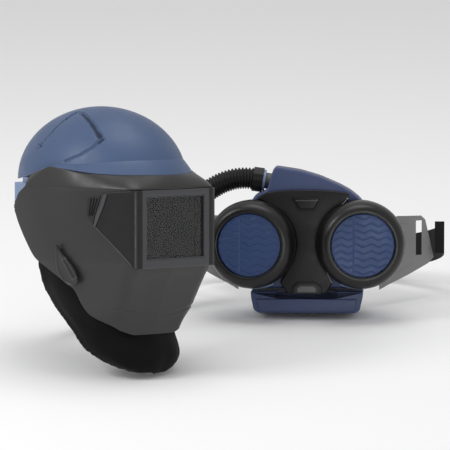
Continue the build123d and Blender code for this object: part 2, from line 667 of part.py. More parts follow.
save(housing_front(), "housing_front", FAN)
save(housing_rear(), "housing_rear", FAN)
save(housing_screws(), "housing_screws", FAN)
save(centre_panel(), "centre_panel", FAN)
save(control_button(), "control_button", FAN)
save(indicator_insert(), "indicator_insert", FAN)
save(impeller(), "impeller", FAN)
save(fan_motor(), "fan_motor", FAN)
save(volute(), "volute", FAN)
save(circuit_board(), "circuit_board", FAN)
save(battery_pack(), "battery_pack", FAN)
save(battery_latch(), "battery_latch", FAN)
save(outlet_spigot(), "outlet_spigot", FAN)
save(outlet_ring(), "outlet_ring", FAN)
save(fan_cuff(), "fan_cuff", FAN)
for side, word in ((-1, "left"), (1, "right")):
    save(filter_socket(side), f"filter_socket_{word}", FAN)
    save(filter_gasket(side), f"filter_gasket_{word}", FAN)
    save(filter_cartridge(side), f"filter_cartridge_{word}", FAN)
    save(filter_cover(side), f"filter_cover_{word}", FAN)
    save(prefilter(side), f"prefilter_{word}", FAN)
    save(belt_plate(side), f"belt_plate_{word}", FAN)
    save(webbing(side), f"webbing_{word}", FAN * DROOP)
    save(adjuster(side), f"strap_adjuster_{word}", FAN * DROOP)
save(back_pad(), "back_pad", FAN)
save(belt_screws(), "belt_screws", FAN)
save(buckle_socket(), "buckle_socket", FAN * DROOP)
save(buckle_plug(), "buckle_plug", FAN * DROOP)
save(buckle_tab(True), "buckle_tab_upper", FAN * DROOP)
save(buckle_tab(False), "buckle_tab_lower", FAN * DROOP)

save(helmet_cuff(), "helmet_cuff", HEAD)
save(breathing_hose(), "breathing_hose", Location((0, 0, 0)))
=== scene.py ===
import bpy
import bmesh
import json
import math
from mathutils import Euler, Matrix, Vector, noise


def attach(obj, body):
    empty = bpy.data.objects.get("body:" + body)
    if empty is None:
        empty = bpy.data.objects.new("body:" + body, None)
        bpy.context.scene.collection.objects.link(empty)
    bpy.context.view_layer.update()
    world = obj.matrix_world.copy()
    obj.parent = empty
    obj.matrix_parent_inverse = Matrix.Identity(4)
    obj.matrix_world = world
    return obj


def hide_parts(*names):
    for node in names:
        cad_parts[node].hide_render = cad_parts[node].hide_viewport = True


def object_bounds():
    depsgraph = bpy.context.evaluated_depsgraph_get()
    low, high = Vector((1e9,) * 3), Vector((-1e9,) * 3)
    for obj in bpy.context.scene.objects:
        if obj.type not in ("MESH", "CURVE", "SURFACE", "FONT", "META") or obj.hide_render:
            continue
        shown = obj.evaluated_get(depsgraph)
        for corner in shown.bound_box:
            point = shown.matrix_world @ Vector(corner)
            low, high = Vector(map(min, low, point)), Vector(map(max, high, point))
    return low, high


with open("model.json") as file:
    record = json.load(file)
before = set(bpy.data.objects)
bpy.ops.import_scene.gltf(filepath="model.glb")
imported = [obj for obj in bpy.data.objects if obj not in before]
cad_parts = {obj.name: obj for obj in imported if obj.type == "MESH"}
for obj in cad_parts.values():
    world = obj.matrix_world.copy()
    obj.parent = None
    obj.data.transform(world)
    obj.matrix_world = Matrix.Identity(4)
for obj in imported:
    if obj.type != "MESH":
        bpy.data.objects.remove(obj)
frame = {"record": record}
CAD_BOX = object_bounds()

# ---------------------------------------------------------------- frames and sizes (metres)
MM = 0.001
HEAD = Euler((math.radians(-8.5), 0, 0)).to_matrix().to_4x4() @ Matrix.Rotation(math.radians(41), 4, "Z")
FAN = (Matrix.Translation((0.276, 0.246, -0.257)) @ Matrix.Rotation(math.radians(-8), 4, "X")
       @ Matrix.Rotation(math.radians(-3), 4, "Z"))
FLOOR_Z = CAD_BOX[0][2] - 0.0005


def head(x, y, z):
    """A point of the headtop's own frame, given in millimetres."""
    return HEAD @ Vector((x * MM, y * MM, z * MM))


def fan(x, y, z):
    """A point of the fan unit's own frame, given in millimetres."""
    return FAN @ Vector((x * MM, y * MM, z * MM))


def placed(rows):
    """Rows of points in the headtop's frame, in millimetres, set in the shared frame."""
    return [[HEAD @ (p * MM) for p in row] for row in rows]


def smooth(a, b, x):
    """Smooth step from 0 at a to 1 at b."""
    t = min(1.0, max(0.0, (x - a) / (b - a)))
    return t * t * (3 - 2 * t)


def curve_at(points, x):
    """Smooth value at x through (x, value) points, as a monotone cubic."""
    points = sorted(points)
    if x <= points[0][0]:
        return points[0][1]
    if x >= points[-1][0]:
        return points[-1][1]
    slopes = [(b[1] - a[1]) / (b[0] - a[0]) for a, b in zip(points, points[1:])]
    tangents = [slopes[0]]
    for s0, s1 in zip(slopes, slopes[1:]):
        tangents.append(0.0 if s0 * s1 <= 0 else 2 * s0 * s1 / (s0 + s1))
    tangents.append(slopes[-1])
    for i, (a, b) in enumerate(zip(points, points[1:])):
        if x <= b[0]:
            h = b[0] - a[0]
            t = (x - a[0]) / h
            return ((2 * t**3 - 3 * t**2 + 1) * a[1] + (t**3 - 2 * t**2 + t) * h * tangents[i]
                    + (3 * t**2 - 2 * t**3) * b[1] + (t**3 - t**2) * h * tangents[i + 1])


# ---------------------------------------------------------------- camera
def make_camera():
    """Long lens, slightly above, as the object is seen from across a table."""
    data = bpy.data.cameras.new("camera")
    data.lens = 360.9
    data.sensor_width = 36
    data.clip_end = 60
    camera = bpy.data.objects.new("camera", data)
    aim = Vector((0.161, -0.0166, -0.0781))
    tilt = math.radians(12)
    camera.location = aim - 6.0 * Vector((0, math.cos(tilt), -math.sin(tilt)))
    camera.rotation_euler = (math.radians(90) - tilt, 0, 0)
    bpy.context.collection.objects.link(camera)
    bpy.context.scene.camera = camera


# ---------------------------------------------------------------- materials
def new_material(name, color, rough, metallic=0.0, spec=0.5):
    mat = bpy.data.materials.new(name)
    mat.use_nodes = True
    bsdf = mat.node_tree.nodes["Principled BSDF"]
    bsdf.inputs["Base Color"].default_value = (*color, 1)
    bsdf.inputs["Roughness"].default_value = rough
    bsdf.inputs["Metallic"].default_value = metallic
    bsdf.inputs["Specular IOR Level"].default_value = spec
    return mat, mat.node_tree, bsdf


def link(tree, a, b):
    tree.links.new(a, b)


def noise_node(tree, scale, detail=4.0, rough=0.55):
    coords = tree.nodes.new("ShaderNodeTexCoord")
    tex = tree.nodes.new("ShaderNodeTexNoise")
    tex.inputs["Scale"].default_value = scale
    tex.inputs["Detail"].default_value = detail
    tex.inputs["Roughness"].default_value = rough
    link(tree, coords.outputs["Object"], tex.inputs["Vector"])
    return tex


def ramp(tree, source, low, high, c0, c1):
    node = tree.nodes.new("ShaderNodeValToRGB")
    node.color_ramp.elements[0].position = low
    node.color_ramp.elements[1].position = high
    node.color_ramp.elements[0].color = (*c0, 1)
    node.color_ramp.elements[1].color = (*c1, 1)
    link(tree, source, node.inputs["Fac"])
    return node


def shade(color, k):
    return tuple(min(1.0, c * k) for c in color)


def moulded(name, color, rough, grain=900.0, depth=0.15, vary=0.12, metallic=0.0, spec=0.5, scuffs=True):
    """Moulded plastic or rubber: fine grain, slight colour drift and dull scuffs."""
    mat, tree, bsdf = new_material(name, color, rough, metallic, spec)
    drift = noise_node(tree, 9.0, 3.0)
    tint = ramp(tree, drift.outputs["Fac"], 0.3, 0.7, shade(color, 1 - vary), shade(color, 1 + vary))
    link(tree, tint.outputs["Color"], bsdf.inputs["Base Color"])
    worn = noise_node(tree, 45.0 if scuffs else 12.0, 8.0, 0.7)
    gloss = tree.nodes.new("ShaderNodeMapRange")
    gloss.inputs["From Min"].default_value = 0.35
    gloss.inputs["From Max"].default_value = 0.75
    gloss.inputs["To Min"].default_value = max(0.03, rough - 0.06)
    gloss.inputs["To Max"].default_value = min(1.0, rough + 0.12)
    link(tree, worn.outputs["Fac"], gloss.inputs["Value"])
    link(tree, gloss.outputs["Result"], bsdf.inputs["Roughness"])
    fine = noise_node(tree, grain, 2.0)
    bump = tree.nodes.new("ShaderNodeBump")
    bump.inputs["Strength"].default_value = depth
    bump.inputs["Distance"].default_value = 0.0004
    link(tree, fine.outputs["Fac"], bump.inputs["Height"])
    link(tree, bump.outputs["Normal"], bsdf.inputs["Normal"])
    return mat


def woven(name, color, pitch, rough=0.9, sheen=0.3, depth=0.6, vary=0.25):
    """Woven cloth: two crossed wave patterns for the yarns, setting both the colour and the bump."""
    mat, tree, bsdf = new_material(name, color, rough, 0.0, 0.12)
    bsdf.inputs["Sheen Weight"].default_value = sheen
    bsdf.inputs["Sheen Roughness"].default_value = 0.5
    coords = tree.nodes.new("ShaderNodeTexCoord")
    waves = []
    for axis in ("X", "Z"):
        wave = tree.nodes.new("ShaderNodeTexWave")
        wave.bands_direction = axis
        wave.inputs["Scale"].default_value = 1.0 / pitch / 3.2
        wave.inputs["Distortion"].default_value = 1.2
        wave.inputs["Detail"].default_value = 1.0
        link(tree, coords.outputs["Object"], wave.inputs["Vector"])
        waves.append(wave)
    cross = tree.nodes.new("ShaderNodeMath")
    cross.operation = "MULTIPLY"
    link(tree, waves[0].outputs["Fac"], cross.inputs[0])
    link(tree, waves[1].outputs["Fac"], cross.inputs[1])
    tint = ramp(tree, cross.outputs["Value"], 0.0, 0.8, shade(color, 1 - vary), shade(color, 1 + 2 * vary))
    link(tree, tint.outputs["Color"], bsdf.inputs["Base Color"])
    bump = tree.nodes.new("ShaderNodeBump")
    bump.inputs["Strength"].default_value = depth
    bump.inputs["Distance"].default_value = pitch * 0.3
    link(tree, cross.outputs["Value"], bump.inputs["Height"])
    link(tree, bump.outputs["Normal"], bsdf.inputs["Normal"])
    return mat


def plate_glass(name, color, rough, alpha):
    """Thin clear plate with faint handling marks in its gloss."""
    mat, tree, bsdf = new_material(name, color, rough, 0.0, 0.6)
    bsdf.inputs["Alpha"].default_value = alpha
    marks = noise_node(tree, 60.0, 6.0, 0.7)
    gloss = tree.nodes.new("ShaderNodeMapRange")
    gloss.inputs["To Min"].default_value = max(0.0, rough - 0.02)
    gloss.inputs["To Max"].default_value = rough + 0.05
    link(tree, marks.outputs["Fac"], gloss.inputs["Value"])
    link(tree, gloss.outputs["Result"], bsdf.inputs["Roughness"])
    return mat


def filter_glass():
    """Dark, polished welding filter glass with a slight unevenness in its tint."""
    mat, tree, bsdf = new_material("welding_glass", (0.02, 0.021, 0.022), 0.07, 0.0, 0.6)
    drift = noise_node(tree, 25.0, 2.0)
    tint = ramp(tree, drift.outputs["Fac"], 0.3, 0.7, (0.018, 0.019, 0.020), (0.028, 0.027, 0.026))
    link(tree, tint.outputs["Color"], bsdf.inputs["Base Color"])
    return mat


MAT = {
    "helmet_blue": moulded("helmet_blue", (0.058, 0.094, 0.185), 0.42, 700, 0.10, 0.06, spec=0.35),
    "shield_grey": moulded("shield_grey", (0.026, 0.0255, 0.025), 0.38, 900, 0.16, 0.08, spec=0.40),
    "bezel_grey": moulded("bezel_grey", (0.010, 0.010, 0.011), 0.32, 900, 0.12, 0.08, spec=0.35),
    # painted light: a lighter grey for the bezel's front frame and for the thin lips, chamfers and rims that stand in
    # for highlights on edges; the clip rims and the button's line share it
    "bezel_highlight_grey": moulded("bezel_highlight_grey", (0.048, 0.049, 0.053), 0.33, 900, 0.12, 0.06, spec=0.45),
    "fan_blue": moulded("fan_blue", (0.040, 0.058, 0.135), 0.42, 800, 0.12, 0.07, spec=0.35),
    "black_plastic": moulded("black_plastic", (0.006, 0.006, 0.0065), 0.34, 900, 0.12, 0.15, spec=0.22),
    "light_blue_plastic": moulded("light_blue_plastic", (0.20, 0.27, 0.42), 0.4, 800, 0.1, 0.06),
    "inner_plastic": moulded("inner_plastic", (0.09, 0.09, 0.10), 0.5, 800, 0.15, 0.08),
    "black_rubber": moulded("black_rubber", (0.006, 0.006, 0.006), 0.42, 500, 0.25, 0.2, spec=0.25),
    "filter_body": moulded("filter_body", (0.32, 0.40, 0.50), 0.45, 800, 0.12, 0.06),
    "hip_plate_grey": moulded("hip_plate_grey", (0.20, 0.20, 0.205), 0.55, 600, 0.3, 0.08),
    "circuit_green": moulded("circuit_green", (0.02, 0.12, 0.05), 0.3, 300, 0.3, 0.2),
    "steel": moulded("steel", (0.60, 0.60, 0.60), 0.3, 1200, 0.12, 0.05, metallic=1.0),
    "seal_fabric": woven("seal_fabric", (0.0045, 0.0045, 0.005), 0.0011, 0.95, 0.06, 0.5),
    "webbing": woven("webbing", (0.008, 0.008, 0.009), 0.0014, 0.8, 0.12, 0.8),
    "foam": woven("foam", (0.012, 0.012, 0.013), 0.0016, 0.95, 0.15, 0.5),
    "prefilter_blue": moulded("prefilter_blue", (0.008, 0.034, 0.125), 0.50, 420, 0.45, 0.10, spec=0.6),
    "cover_black": moulded("cover_black", (0.007, 0.0065, 0.006), 0.33, 900, 0.08, 0.1, spec=0.40),
    "slot_black": moulded("slot_black", (0.004, 0.004, 0.004), 0.5, 900, 0.1, 0.1),
    # painted highlight: light grey for the thin bead that stands in for the light on the fan panel's edge
    "edge_highlight_bead": moulded("edge_highlight_bead", (0.55, 0.56, 0.58), 0.3, 900, 0.05, 0.05),
    # painted shade: a darker blue for the faces deep in the helmet's upper grooves, standing in for the shade inside
    # them
    "groove_shade_blue": moulded("groove_shade_blue", (0.016, 0.027, 0.058), 0.5, 700, 0.10, 0.06, spec=0.2),
    "clear_plate": plate_glass("clear_plate", (0.02, 0.021, 0.022), 0.05, 0.10),
    "welding_glass": filter_glass(),
}


def finish_nodes():
    """Give every carried-over CAD node the finish of its slot."""
    for row in frame["record"]["subparts"]:
        node = bpy.data.objects.get(row["node"])
        if node is None:
            continue
        node.data.materials.clear()
        node.data.materials.append(MAT[row["material_slot"]])


# ---------------------------------------------------------------- mesh helpers
def add_object(name, mesh, slot, body="root", flat_angle=40.0):
    obj = bpy.data.objects.new(name, mesh)
    bpy.context.collection.objects.link(obj)
    mesh.materials.append(MAT[slot])
    mesh.shade_smooth()
    if flat_angle:
        mesh.set_sharp_from_angle(angle=math.radians(flat_angle))
    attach(obj, body)
    return obj


def grid_mesh(name, rows, wrap_u=False, skip=None):
    """Quads over rows of points; skip(i, j) leaves a face out."""
    mesh = bpy.data.meshes.new(name)
    verts = [p for row in rows for p in row]
    n = len(rows[0])
    faces = []
    for i in range(len(rows) - 1):
        for j in range(n if wrap_u else n - 1):
            if skip and skip(i, j):
                continue
            k = (j + 1) % n
            faces.append((i * n + j, i * n + k, (i + 1) * n + k, (i + 1) * n + j))
    mesh.from_pydata(verts, [], faces)
    mesh.validate()
    clean(mesh)
    return mesh


def clean(mesh, merge=1e-6):
    bm = bmesh.new()
    bm.from_mesh(mesh)
    bmesh.ops.remove_doubles(bm, verts=bm.verts, dist=merge)
    loose = [v for v in bm.verts if not v.link_faces]
    bmesh.ops.delete(bm, geom=loose, context="VERTS")
    bmesh.ops.recalc_face_normals(bm, faces=bm.faces)
    bm.to_mesh(mesh)
    bm.free()


def close_ends(mesh):
    """Fill the open ends of a lofted mesh with triangles."""
    bm = bmesh.new()
    bm.from_mesh(mesh)
    bmesh.ops.holes_fill(bm, edges=bm.edges, sides=0)
    bmesh.ops.triangulate(bm, faces=[f for f in bm.faces if len(f.verts) > 4])
    bmesh.ops.recalc_face_normals(bm, faces=bm.faces)
    bm.to_mesh(mesh)
    bm.free()


def thicken(obj, depth, offset=-1.0):
    solid = obj.modifiers.new("wall", "SOLIDIFY")
    solid.thickness = depth
    solid.offset = offset
    solid.use_even_offset = False
    return solid


def soften(obj, width, segments=3, angle=35.0):
    bevel = obj.modifiers.new("edges", "BEVEL")
    bevel.width = width
    bevel.segments = segments
    bevel.limit_method = "ANGLE"
    bevel.angle_limit = math.radians(angle)
    bevel.harden_normals = False
    return bevel


def prism_mesh(name, outline, place, y0, y1):
    """A front-view outline of (x, z) in millimetres, from depth y0 to y1, set in place by a function."""
    mesh = bpy.data.meshes.new(name)
    n = len(outline)
    verts = [place(x, y0, z) for x, z in outline] + [place(x, y1, z) for x, z in outline]
    faces = [tuple(range(n)), tuple(reversed(range(n, 2 * n)))]
    for i in range(n):
        j = (i + 1) % n
        faces.append((i, i + n, j + n, j))
    mesh.from_pydata(verts, [], faces)
    clean(mesh)
    return mesh


def rounded(points, radius, steps=6):
    """Corners of a closed outline replaced by arcs."""
    result = []
    n = len(points)
    for i in range(n):
        p = Vector(points[i])
        a = Vector(points[i - 1]) - p
        b = Vector(points[(i + 1) % n]) - p
        r = min(radius, 0.45 * a.length, 0.45 * b.length)
        start, end = p + a.normalized() * r, p + b.normalized() * r
        for k in range(steps + 1):
            t = k / steps
            q = (1 - t) ** 2 * start + 2 * t * (1 - t) * p + t * t * end
            result.append((q.x, q.y))
    return result


# ---------------------------------------------------------------- breathing hose
HOSE_D = 0.030
CUFF_END = 27.0


def along_outlet(s):
    """A point on the fan outlet's axis, s millimetres out."""
    return fan(-50 - 0.9903 * s, 14, 180.5 + 0.1392 * s)


HOSE_ROUTE = ([head(26, 129, -75.5), head(26, 129, -115.5)]
              + [Vector(p) * MM for p in ((-60, 104, -176), (-46, 132, -218), (-18, 174, -243), (18, 219, -245),
                                          (46, 250, -228), (70, 278, -204), (88, 292, -160), (116, 296, -110))]
              + [along_outlet(CUFF_END + 30), along_outlet(CUFF_END)])


def route_points():
    """Points along the route's smooth curve."""
    data = bpy.data.curves.new("hose_route", "CURVE")
    data.dimensions = "3D"
    spline = data.splines.new("NURBS")
    spline.points.add(len(HOSE_ROUTE) - 1)
    for point, place in zip(spline.points, HOSE_ROUTE):
        point.co = (*place, 1)
    spline.order_u = 3
    spline.use_endpoint_u = True
    spline.resolution_u = 24
    obj = bpy.data.objects.new("hose_route", data)
    bpy.context.collection.objects.link(obj)
    bpy.context.view_layer.update()
    mesh = bpy.data.meshes.new_from_object(obj)
    points = [v.co.copy() for v in mesh.vertices]
    bpy.data.objects.remove(obj)
    return points


def evenly(points, step):
    """The polyline read again at even steps."""
    result = [points[0].copy()]
    left = step
    for a, b in zip(points, points[1:]):
        length = (b - a).length
        at = left
        while at <= length:
            result.append(a.lerp(b, at / length))
            at += step
        left = at - length
    result.append(points[-1].copy())
    return result


def ring_frames(points):
    """A frame at each point that doesn't twist along the line."""
    side = (points[1] - points[0]).orthogonal().normalized()
    frames = []
    for i, p in enumerate(points):
        ahead = (points[min(i + 1, len(points) - 1)] - points[max(i - 1, 0)]).normalized()
        side = (side - ahead * side.dot(ahead)).normalized()
        frames.append((p, side, ahead.cross(side)))
    return frames


def make_hose():
    """Corrugated rubber hose between the two cuffs."""
    points = route_points()
    length = sum((b - a).length for a, b in zip(points, points[1:]))
    step, pitch, around = 0.0007, 0.0042, 40
    rows = []
    for i, (p, side, up) in enumerate(ring_frames(evenly(points, step))):
        wave = 0.5 + 0.5 * math.cos(2 * math.pi * (i * step) / pitch)
        r = HOSE_D / 2 - 0.0022 + 0.0022 * smooth(0.15, 0.85, wave)
        rows.append([p + (side * math.cos(a) + up * math.sin(a)) * r
                     for a in (2 * math.pi * k / around for k in range(around))])
    hose = add_object("corrugated_hose", grid_mesh("corrugated_hose", rows, wrap_u=True), "black_rubber", flat_angle=0)
    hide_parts("breathing_hose")
    tuple(points[0])


# ---------------------------------------------------------------- helmet
DOME = Vector((100, 129, 98))
DOME_AT = Vector((0, 4, -20))
# Edge of the raised side panel: places on the right of the dome, from the rear dimple over the top to the brim
PANEL_REAR = [(-85, 27, 31), (-79, 22, 39), (-74, 18, 45), (-63, 15, 56), (-48, 12, 65), (-37, 11, 71)]
PANEL_FRONT = [(-38, 1, 71), (-44, -15, 67), (-50, -32, 61), (-56, -50, 51), (-58, -62, 42)]
PANEL_LOW = [(-58, -68, 39), (-70, -63, 28), (-82, -51, 18), (-92, -31, 9)]


def on_line(p, line):
    """Distance to a line of points, and the share of the way along it."""
    best, share = 1e9, 0.0
    for i, (a, b) in enumerate(zip(line, line[1:])):
        a, b = Vector(a), Vector(b)
        t = max(0.0, min(1.0, (p - a).dot(b - a) / (b - a).length_squared))
        d = (p - a.lerp(b, t)).length
        if d < best:
            best, share = d, (i + t) / (len(line) - 1)
    return best, share


def groove(d, half, wall, depth):
    """Flat-bottomed groove profile at a distance from its middle line."""
    return -depth * (1 - smooth(half, half + wall, d))


def helmet_relief(p):
    """How far the surface stands in or out at a place on the dome, in millimetres."""
    q = Vector((-abs(p.x), p.y, p.z))
    d, share = on_line(q, PANEL_REAR)
    relief = groove(d, 0.9 + 1.9 * smooth(0.55, 0.9, share), 1.5, 2.6)
    d, share = on_line(q, PANEL_FRONT)
    relief = min(relief, groove(d, 2.2 + 1.2 * share, 1.6, 2.4))
    d, share = on_line(q, PANEL_LOW)
    relief = min(relief, groove(d, 0.7 + 2.0 * (1 - smooth(0.0, 0.35, share)), 1.5, 1.9))
    dimple = Vector((q.x + 85, (q.y - 31) / 1.6, q.z - 27)).length
    relief = min(relief, groove(dimple, 2.6, 2.2, 3.0))
    return relief


def dome_point(az, polar):
    """A place on the helmet's dome, in millimetres in the headtop's frame."""
    base = Vector((DOME.x * math.sin(polar) * math.cos(az), DOME.y * math.sin(polar) * math.sin(az),
                   DOME.z * math.cos(polar)))
    normal = Vector((base.x / DOME.x**2, base.y / DOME.y**2, base.z / DOME.z**2)).normalized()
    p = base + DOME_AT
    return p + normal * helmet_relief(p)


# Angle round from the front in degrees, with the height there
BRIM_LOW = [(0, -8), (30, -7.5), (50, -6), (60, -4), (70, -1.5), (80, 0.5), (90, -2.5), (100, -8), (110, -13),
            (120, -16), (130, -18), (145, -19), (180, -19)]
BRIM_CREASE = [(0, 11), (25, 10.5), (40, 9), (55, 7), (68, 5.5), (78, 4.5), (90, -0.5), (100, -6.5), (110, -12),
               (120, -15), (130, -17.2), (145, -18.2), (180, -18.2)]


def brim_edge(az):
    """Lower edge of the brim at an azimuth."""
    turn = math.degrees(math.acos(max(-1.0, min(1.0, -math.sin(az)))))
    front = 1 - smooth(78, 100, turn)
    rear = Vector((100.4 * math.cos(az), 4 + 129.6 * math.sin(az), 0))
    brim = Vector((103 * math.cos(az), 134 * math.sin(az), 0))
    p = rear.lerp(brim, front)
    p.z = curve_at(BRIM_LOW, turn)
    return p, curve_at(BRIM_CREASE, turn), front


def make_helmet():
    """Dome with raised side panels, flowing through a crease into the brim."""
    around, down = 480, 170
    edges = [brim_edge(2 * math.pi * k / around) for k in range(around)]
    rows = []
    for i in range(down + 1):
        row = []
        for k, (edge, crease_z, front) in enumerate(edges):
            last = math.acos((crease_z - DOME_AT.z) / DOME.z)
            row.append(dome_point(2 * math.pi * k / around, last * i / down))
        rows.append(row)
    crease = rows[-1]
    for t in (0.03, 0.08, 0.16, 0.28, 0.44, 0.62, 0.8, 0.93, 1.0):
        row = []
        for k, (edge, crease_z, front) in enumerate(edges):
            top = crease[k]
            flare = t ** (1.0 - 0.12 * front)
            row.append(Vector((top.x + (edge.x - top.x) * flare, top.y + (edge.y - top.y) * flare,
                               top.z + (edge.z - top.z) * t)))
        rows.append(row)
    lip = rows[-1]
    rows.append([Vector((p.x * 0.992, p.y * 0.992, p.z - 0.8)) for p in lip])
    rows.append([Vector((p.x * 0.972, p.y * 0.974, p.z - 0.3)) for p in lip])
    inside = []
    for i in range(0, down + 1, 10):
        inside.append([Vector((p.x * 0.962, p.y * 0.968, (p.z - DOME_AT.z) * 0.962 + DOME_AT.z)) for p in rows[i]])
    rows += reversed(inside)
    helmet = add_object("helmet_dome", grid_mesh("helmet_dome", placed(rows), wrap_u=True), "helmet_blue",
                        flat_angle=50)
    # painted shade: faces deep in the upper grooves get the darker blue, standing in for the shade inside the grooves
    helmet.data.materials.append(MAT["groove_shade_blue"])
    inverse = HEAD.inverted()
    for face in helmet.data.polygons:
        c = inverse @ face.center / MM
        if c.z > 25 and helmet_relief(c) < -1.7 and (face.normal.z > 0 or c.z > 0):
            face.material_index = 1
    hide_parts("helmet_shell")
    for flip in (-1, 1):
        rows = []
        for x, r in ((88, 0.2), (88, 3.8), (99, 3.8), (99.5, 3.2), (99.5, 0.2)):
            rows.append([head(flip * x, -25 + r * math.cos(a), -4 + r * math.sin(a))
                         for a in (2 * math.pi * k / 32 for k in range(32))])
        pin = add_object("pivot_pin_" + ("right" if flip < 0 else "left"), grid_mesh("pin", rows, wrap_u=True), "steel")
        if flip < 0:
            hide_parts("shield_pivots")


# ---------------------------------------------------------------- welding shield
# z, half width at the rear, cheek x, cheek y, front corner x, front corner y
LEVELS = [
    (-25, 112.5, 101, -66, 68, -145),
    (-28, 113, 99.5, -67, 68, -143.5),
    (-80, 112, 97, -68, 69.5, -144),
    (-120, 110, 96, -66, 70, -143.5),
    (-132, 107, 94, -64, 69.5, -138),
    (-145, 103, 91, -62, 68.5, -130),
    (-180, 92, 81, -62, 64.5, -112.5),
    (-205, 81, 71, -64, 58, -104),
    (-219, 73, 63, -68, 51, -101.5),
]
REAR_EDGE = [(-25, 27), (-27, 29.5), (-36, 41.5), (-44.5, 46), (-54, 49.5), (-68, 45), (-82.5, 37), (-100, 25.5),
             (-118, 12), (-132, -8), (-146, -28), (-160, -47), (-180, -54), (-197, -64), (-211, -80), (-219, -96)]
LEDGE_LOW = -25


def level_at(z):
    """Outline values of the shield at a height."""
    return [curve_at([(row[0], row[i]) for row in LEVELS], z) for i in range(1, 6)]


def shield_outline(z, inset=0.0):
    """Half outline from the rear edge round to the middle of the front, with soft corners."""
    rear_w, cx, cy, fx, fy = level_at(z)
    rear_y = curve_at(REAR_EDGE, z)
    bow = 3.0
    corners = [(rear_w, 60), (rear_w, 8), (cx, cy), (fx, fy), (0, fy - bow)]
    dense = []
    radii = (0, 60, 26, 14, 0)
    for i, p in enumerate(corners):
        p = Vector(p)
        if radii[i] == 0:
            dense.append(p)
            continue
        a, b = Vector(corners[i - 1]) - p, Vector(corners[i + 1]) - p
        r = min(radii[i], 0.49 * a.length, 0.49 * b.length)
        s, e = p + a.normalized() * r, p + b.normalized() * r
        for k in range(13):
            t = k / 12
            dense.append((1 - t) ** 2 * s + 2 * t * (1 - t) * p + t * t * e)
    kept = []
    for a, b in zip(dense, dense[1:]):
        if b.y > rear_y:
            continue
        if not kept:
            t = (rear_y - a.y) / (b.y - a.y) if a.y > rear_y else 0.0
            kept.append(a.lerp(b, t))
        kept.append(b)
    if inset:
        kept = [Vector((p.x - inset * (0.9 if p.x > 40 else p.x / 45), p.y + inset * 0.9)) for p in kept]
    return kept


def resample(points, count):
    """A planar line read again at even spacing."""
    lengths = [0.0]
    for a, b in zip(points, points[1:]):
        lengths.append(lengths[-1] + (b - a).length)
    result = []
    j = 0
    for i in range(count):
        target = lengths[-1] * i / (count - 1)
        while j < len(points) - 2 and lengths[j + 1] < target:
            j += 1
        span = max(1e-9, lengths[j + 1] - lengths[j])
        result.append(points[j].lerp(points[j + 1], (target - lengths[j]) / span))
    return result


def shield_rows(inset=0.0, zs=None, count=110):
    """Rows of points from the right rear edge round to the left rear edge."""
    rows = []
    for z in zs:
        half = resample(shield_outline(z, inset), count)
        right = [Vector((-p.x, p.y, z)) for p in half]
        left = [Vector((p.x, p.y, z)) for p in reversed(half[:-1])]
        rows.append(right + left)
    return rows


def ledge_rows():
    """Rows of the brow: from just under the brim, outwards and down to the crease."""
    low = shield_rows(0.0, [LEDGE_LOW])[0]
    first = math.degrees(math.atan2(-low[0].y, -low[0].x))
    rows = []
    tops = []
    for p in low:
        turn = math.degrees(math.atan2(-p.y, abs(p.x)))
        rear = 1 - smooth(-15, 38, turn)
        turn += 0.0 if turn == first else rear * (5.0 - first)
        a = math.radians(turn)
        reach = 1 / math.sqrt((math.cos(a) / 104.2) ** 2 + (math.sin(a) / 135.6) ** 2)
        x = math.copysign(reach * math.cos(a), p.x)
        height = curve_at(BRIM_LOW, 90 - turn) + 1.5 * rear
        tops.append(Vector((x, -reach * math.sin(a), height)))
    rows.append([Vector((t.x * 0.985, t.y * 0.985, t.z - 1.0)) for t in tops])
    for i in range(16):
        t = i / 16
        out, down = 1 - (1 - t) ** 1.3, t ** 1.12
        rows.append([Vector((a.x + (b.x - a.x) * out, a.y + (b.y - a.y) * out, a.z + (b.z - a.z) * down))
                     for a, b in zip(tops, low)])
    return rows


def shield_heights():
    return [-25 - 0.75 * i for i in range(5)] + [-29 - 2.0 * i for i in range(95)] + [-219]


def chin_shape(p):
    """Rounded lower corners and a fine step across the chin."""
    q = p.copy()
    side = abs(q.x)
    q.z += 9.0 * smooth(-185, -219, p.z) * smooth(26, 62, side) ** 1.4
    line = -193.5 + 14.0 * smooth(10, 95, side)
    depth = 1.3 * (1 - smooth(0.6, 3.0, abs(p.z - line))) * smooth(78, 60, side)
    below_line = 1.0 * smooth(line, line - 8, p.z) * smooth(78, 60, side)
    inward = Vector((-math.copysign(1, q.x) * smooth(45, 70, side), 1.0, 0)).normalized()
    return q + inward * (depth + below_line)


def make_shield():
    """Welding shield shell with a brow ledge, a receding chin and a clear window opening."""
    rows = ledge_rows() + [[chin_shape(p) for p in row] for row in shield_rows(0.0, shield_heights())]
    half_w, low, high = 52.5, -119.5, -33.5

    def in_window(i, j):
        p = rows[i][j]
        return abs(p.x) < half_w and p.y < -125 and low < p.z < high

    mesh = grid_mesh("shield_shell", placed(rows), skip=in_window)
    shell = add_object("shield_shell", mesh, "shield_grey", "shield", flat_angle=0)
    thicken(shell, 0.0028)
    soften(shell, 0.0008, 2, 60)
    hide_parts("welding_shield")


# ---------------------------------------------------------------- window and its bezel
PANE = (-50.2, 50.2, -117.3, -35.2)     # clear sight: x from, x to, z from, z to
BEZEL_Y = -148.0
CHEEK_A, CHEEK_B = Vector((-98, -66)), Vector((-68, -143))
CHEEK_DIR = (CHEEK_B - CHEEK_A).normalized()
CHEEK_OUT = Vector((CHEEK_DIR.y, -CHEEK_DIR.x))
WING_TOP = [(14, -36.2), (37, -31), (64, -28), (87, -26.5)]
WING_LOW = [(13, -61), (24, -72), (34, -81), (64, -107.4), (78, -121), (85, -128.5)]


def cheek(u, z, off):
    """A place on the right cheek: u along it towards the front, off outwards, in millimetres."""
    p = CHEEK_A + CHEEK_DIR * u + CHEEK_OUT * off
    return Vector((p.x, p.y, z))


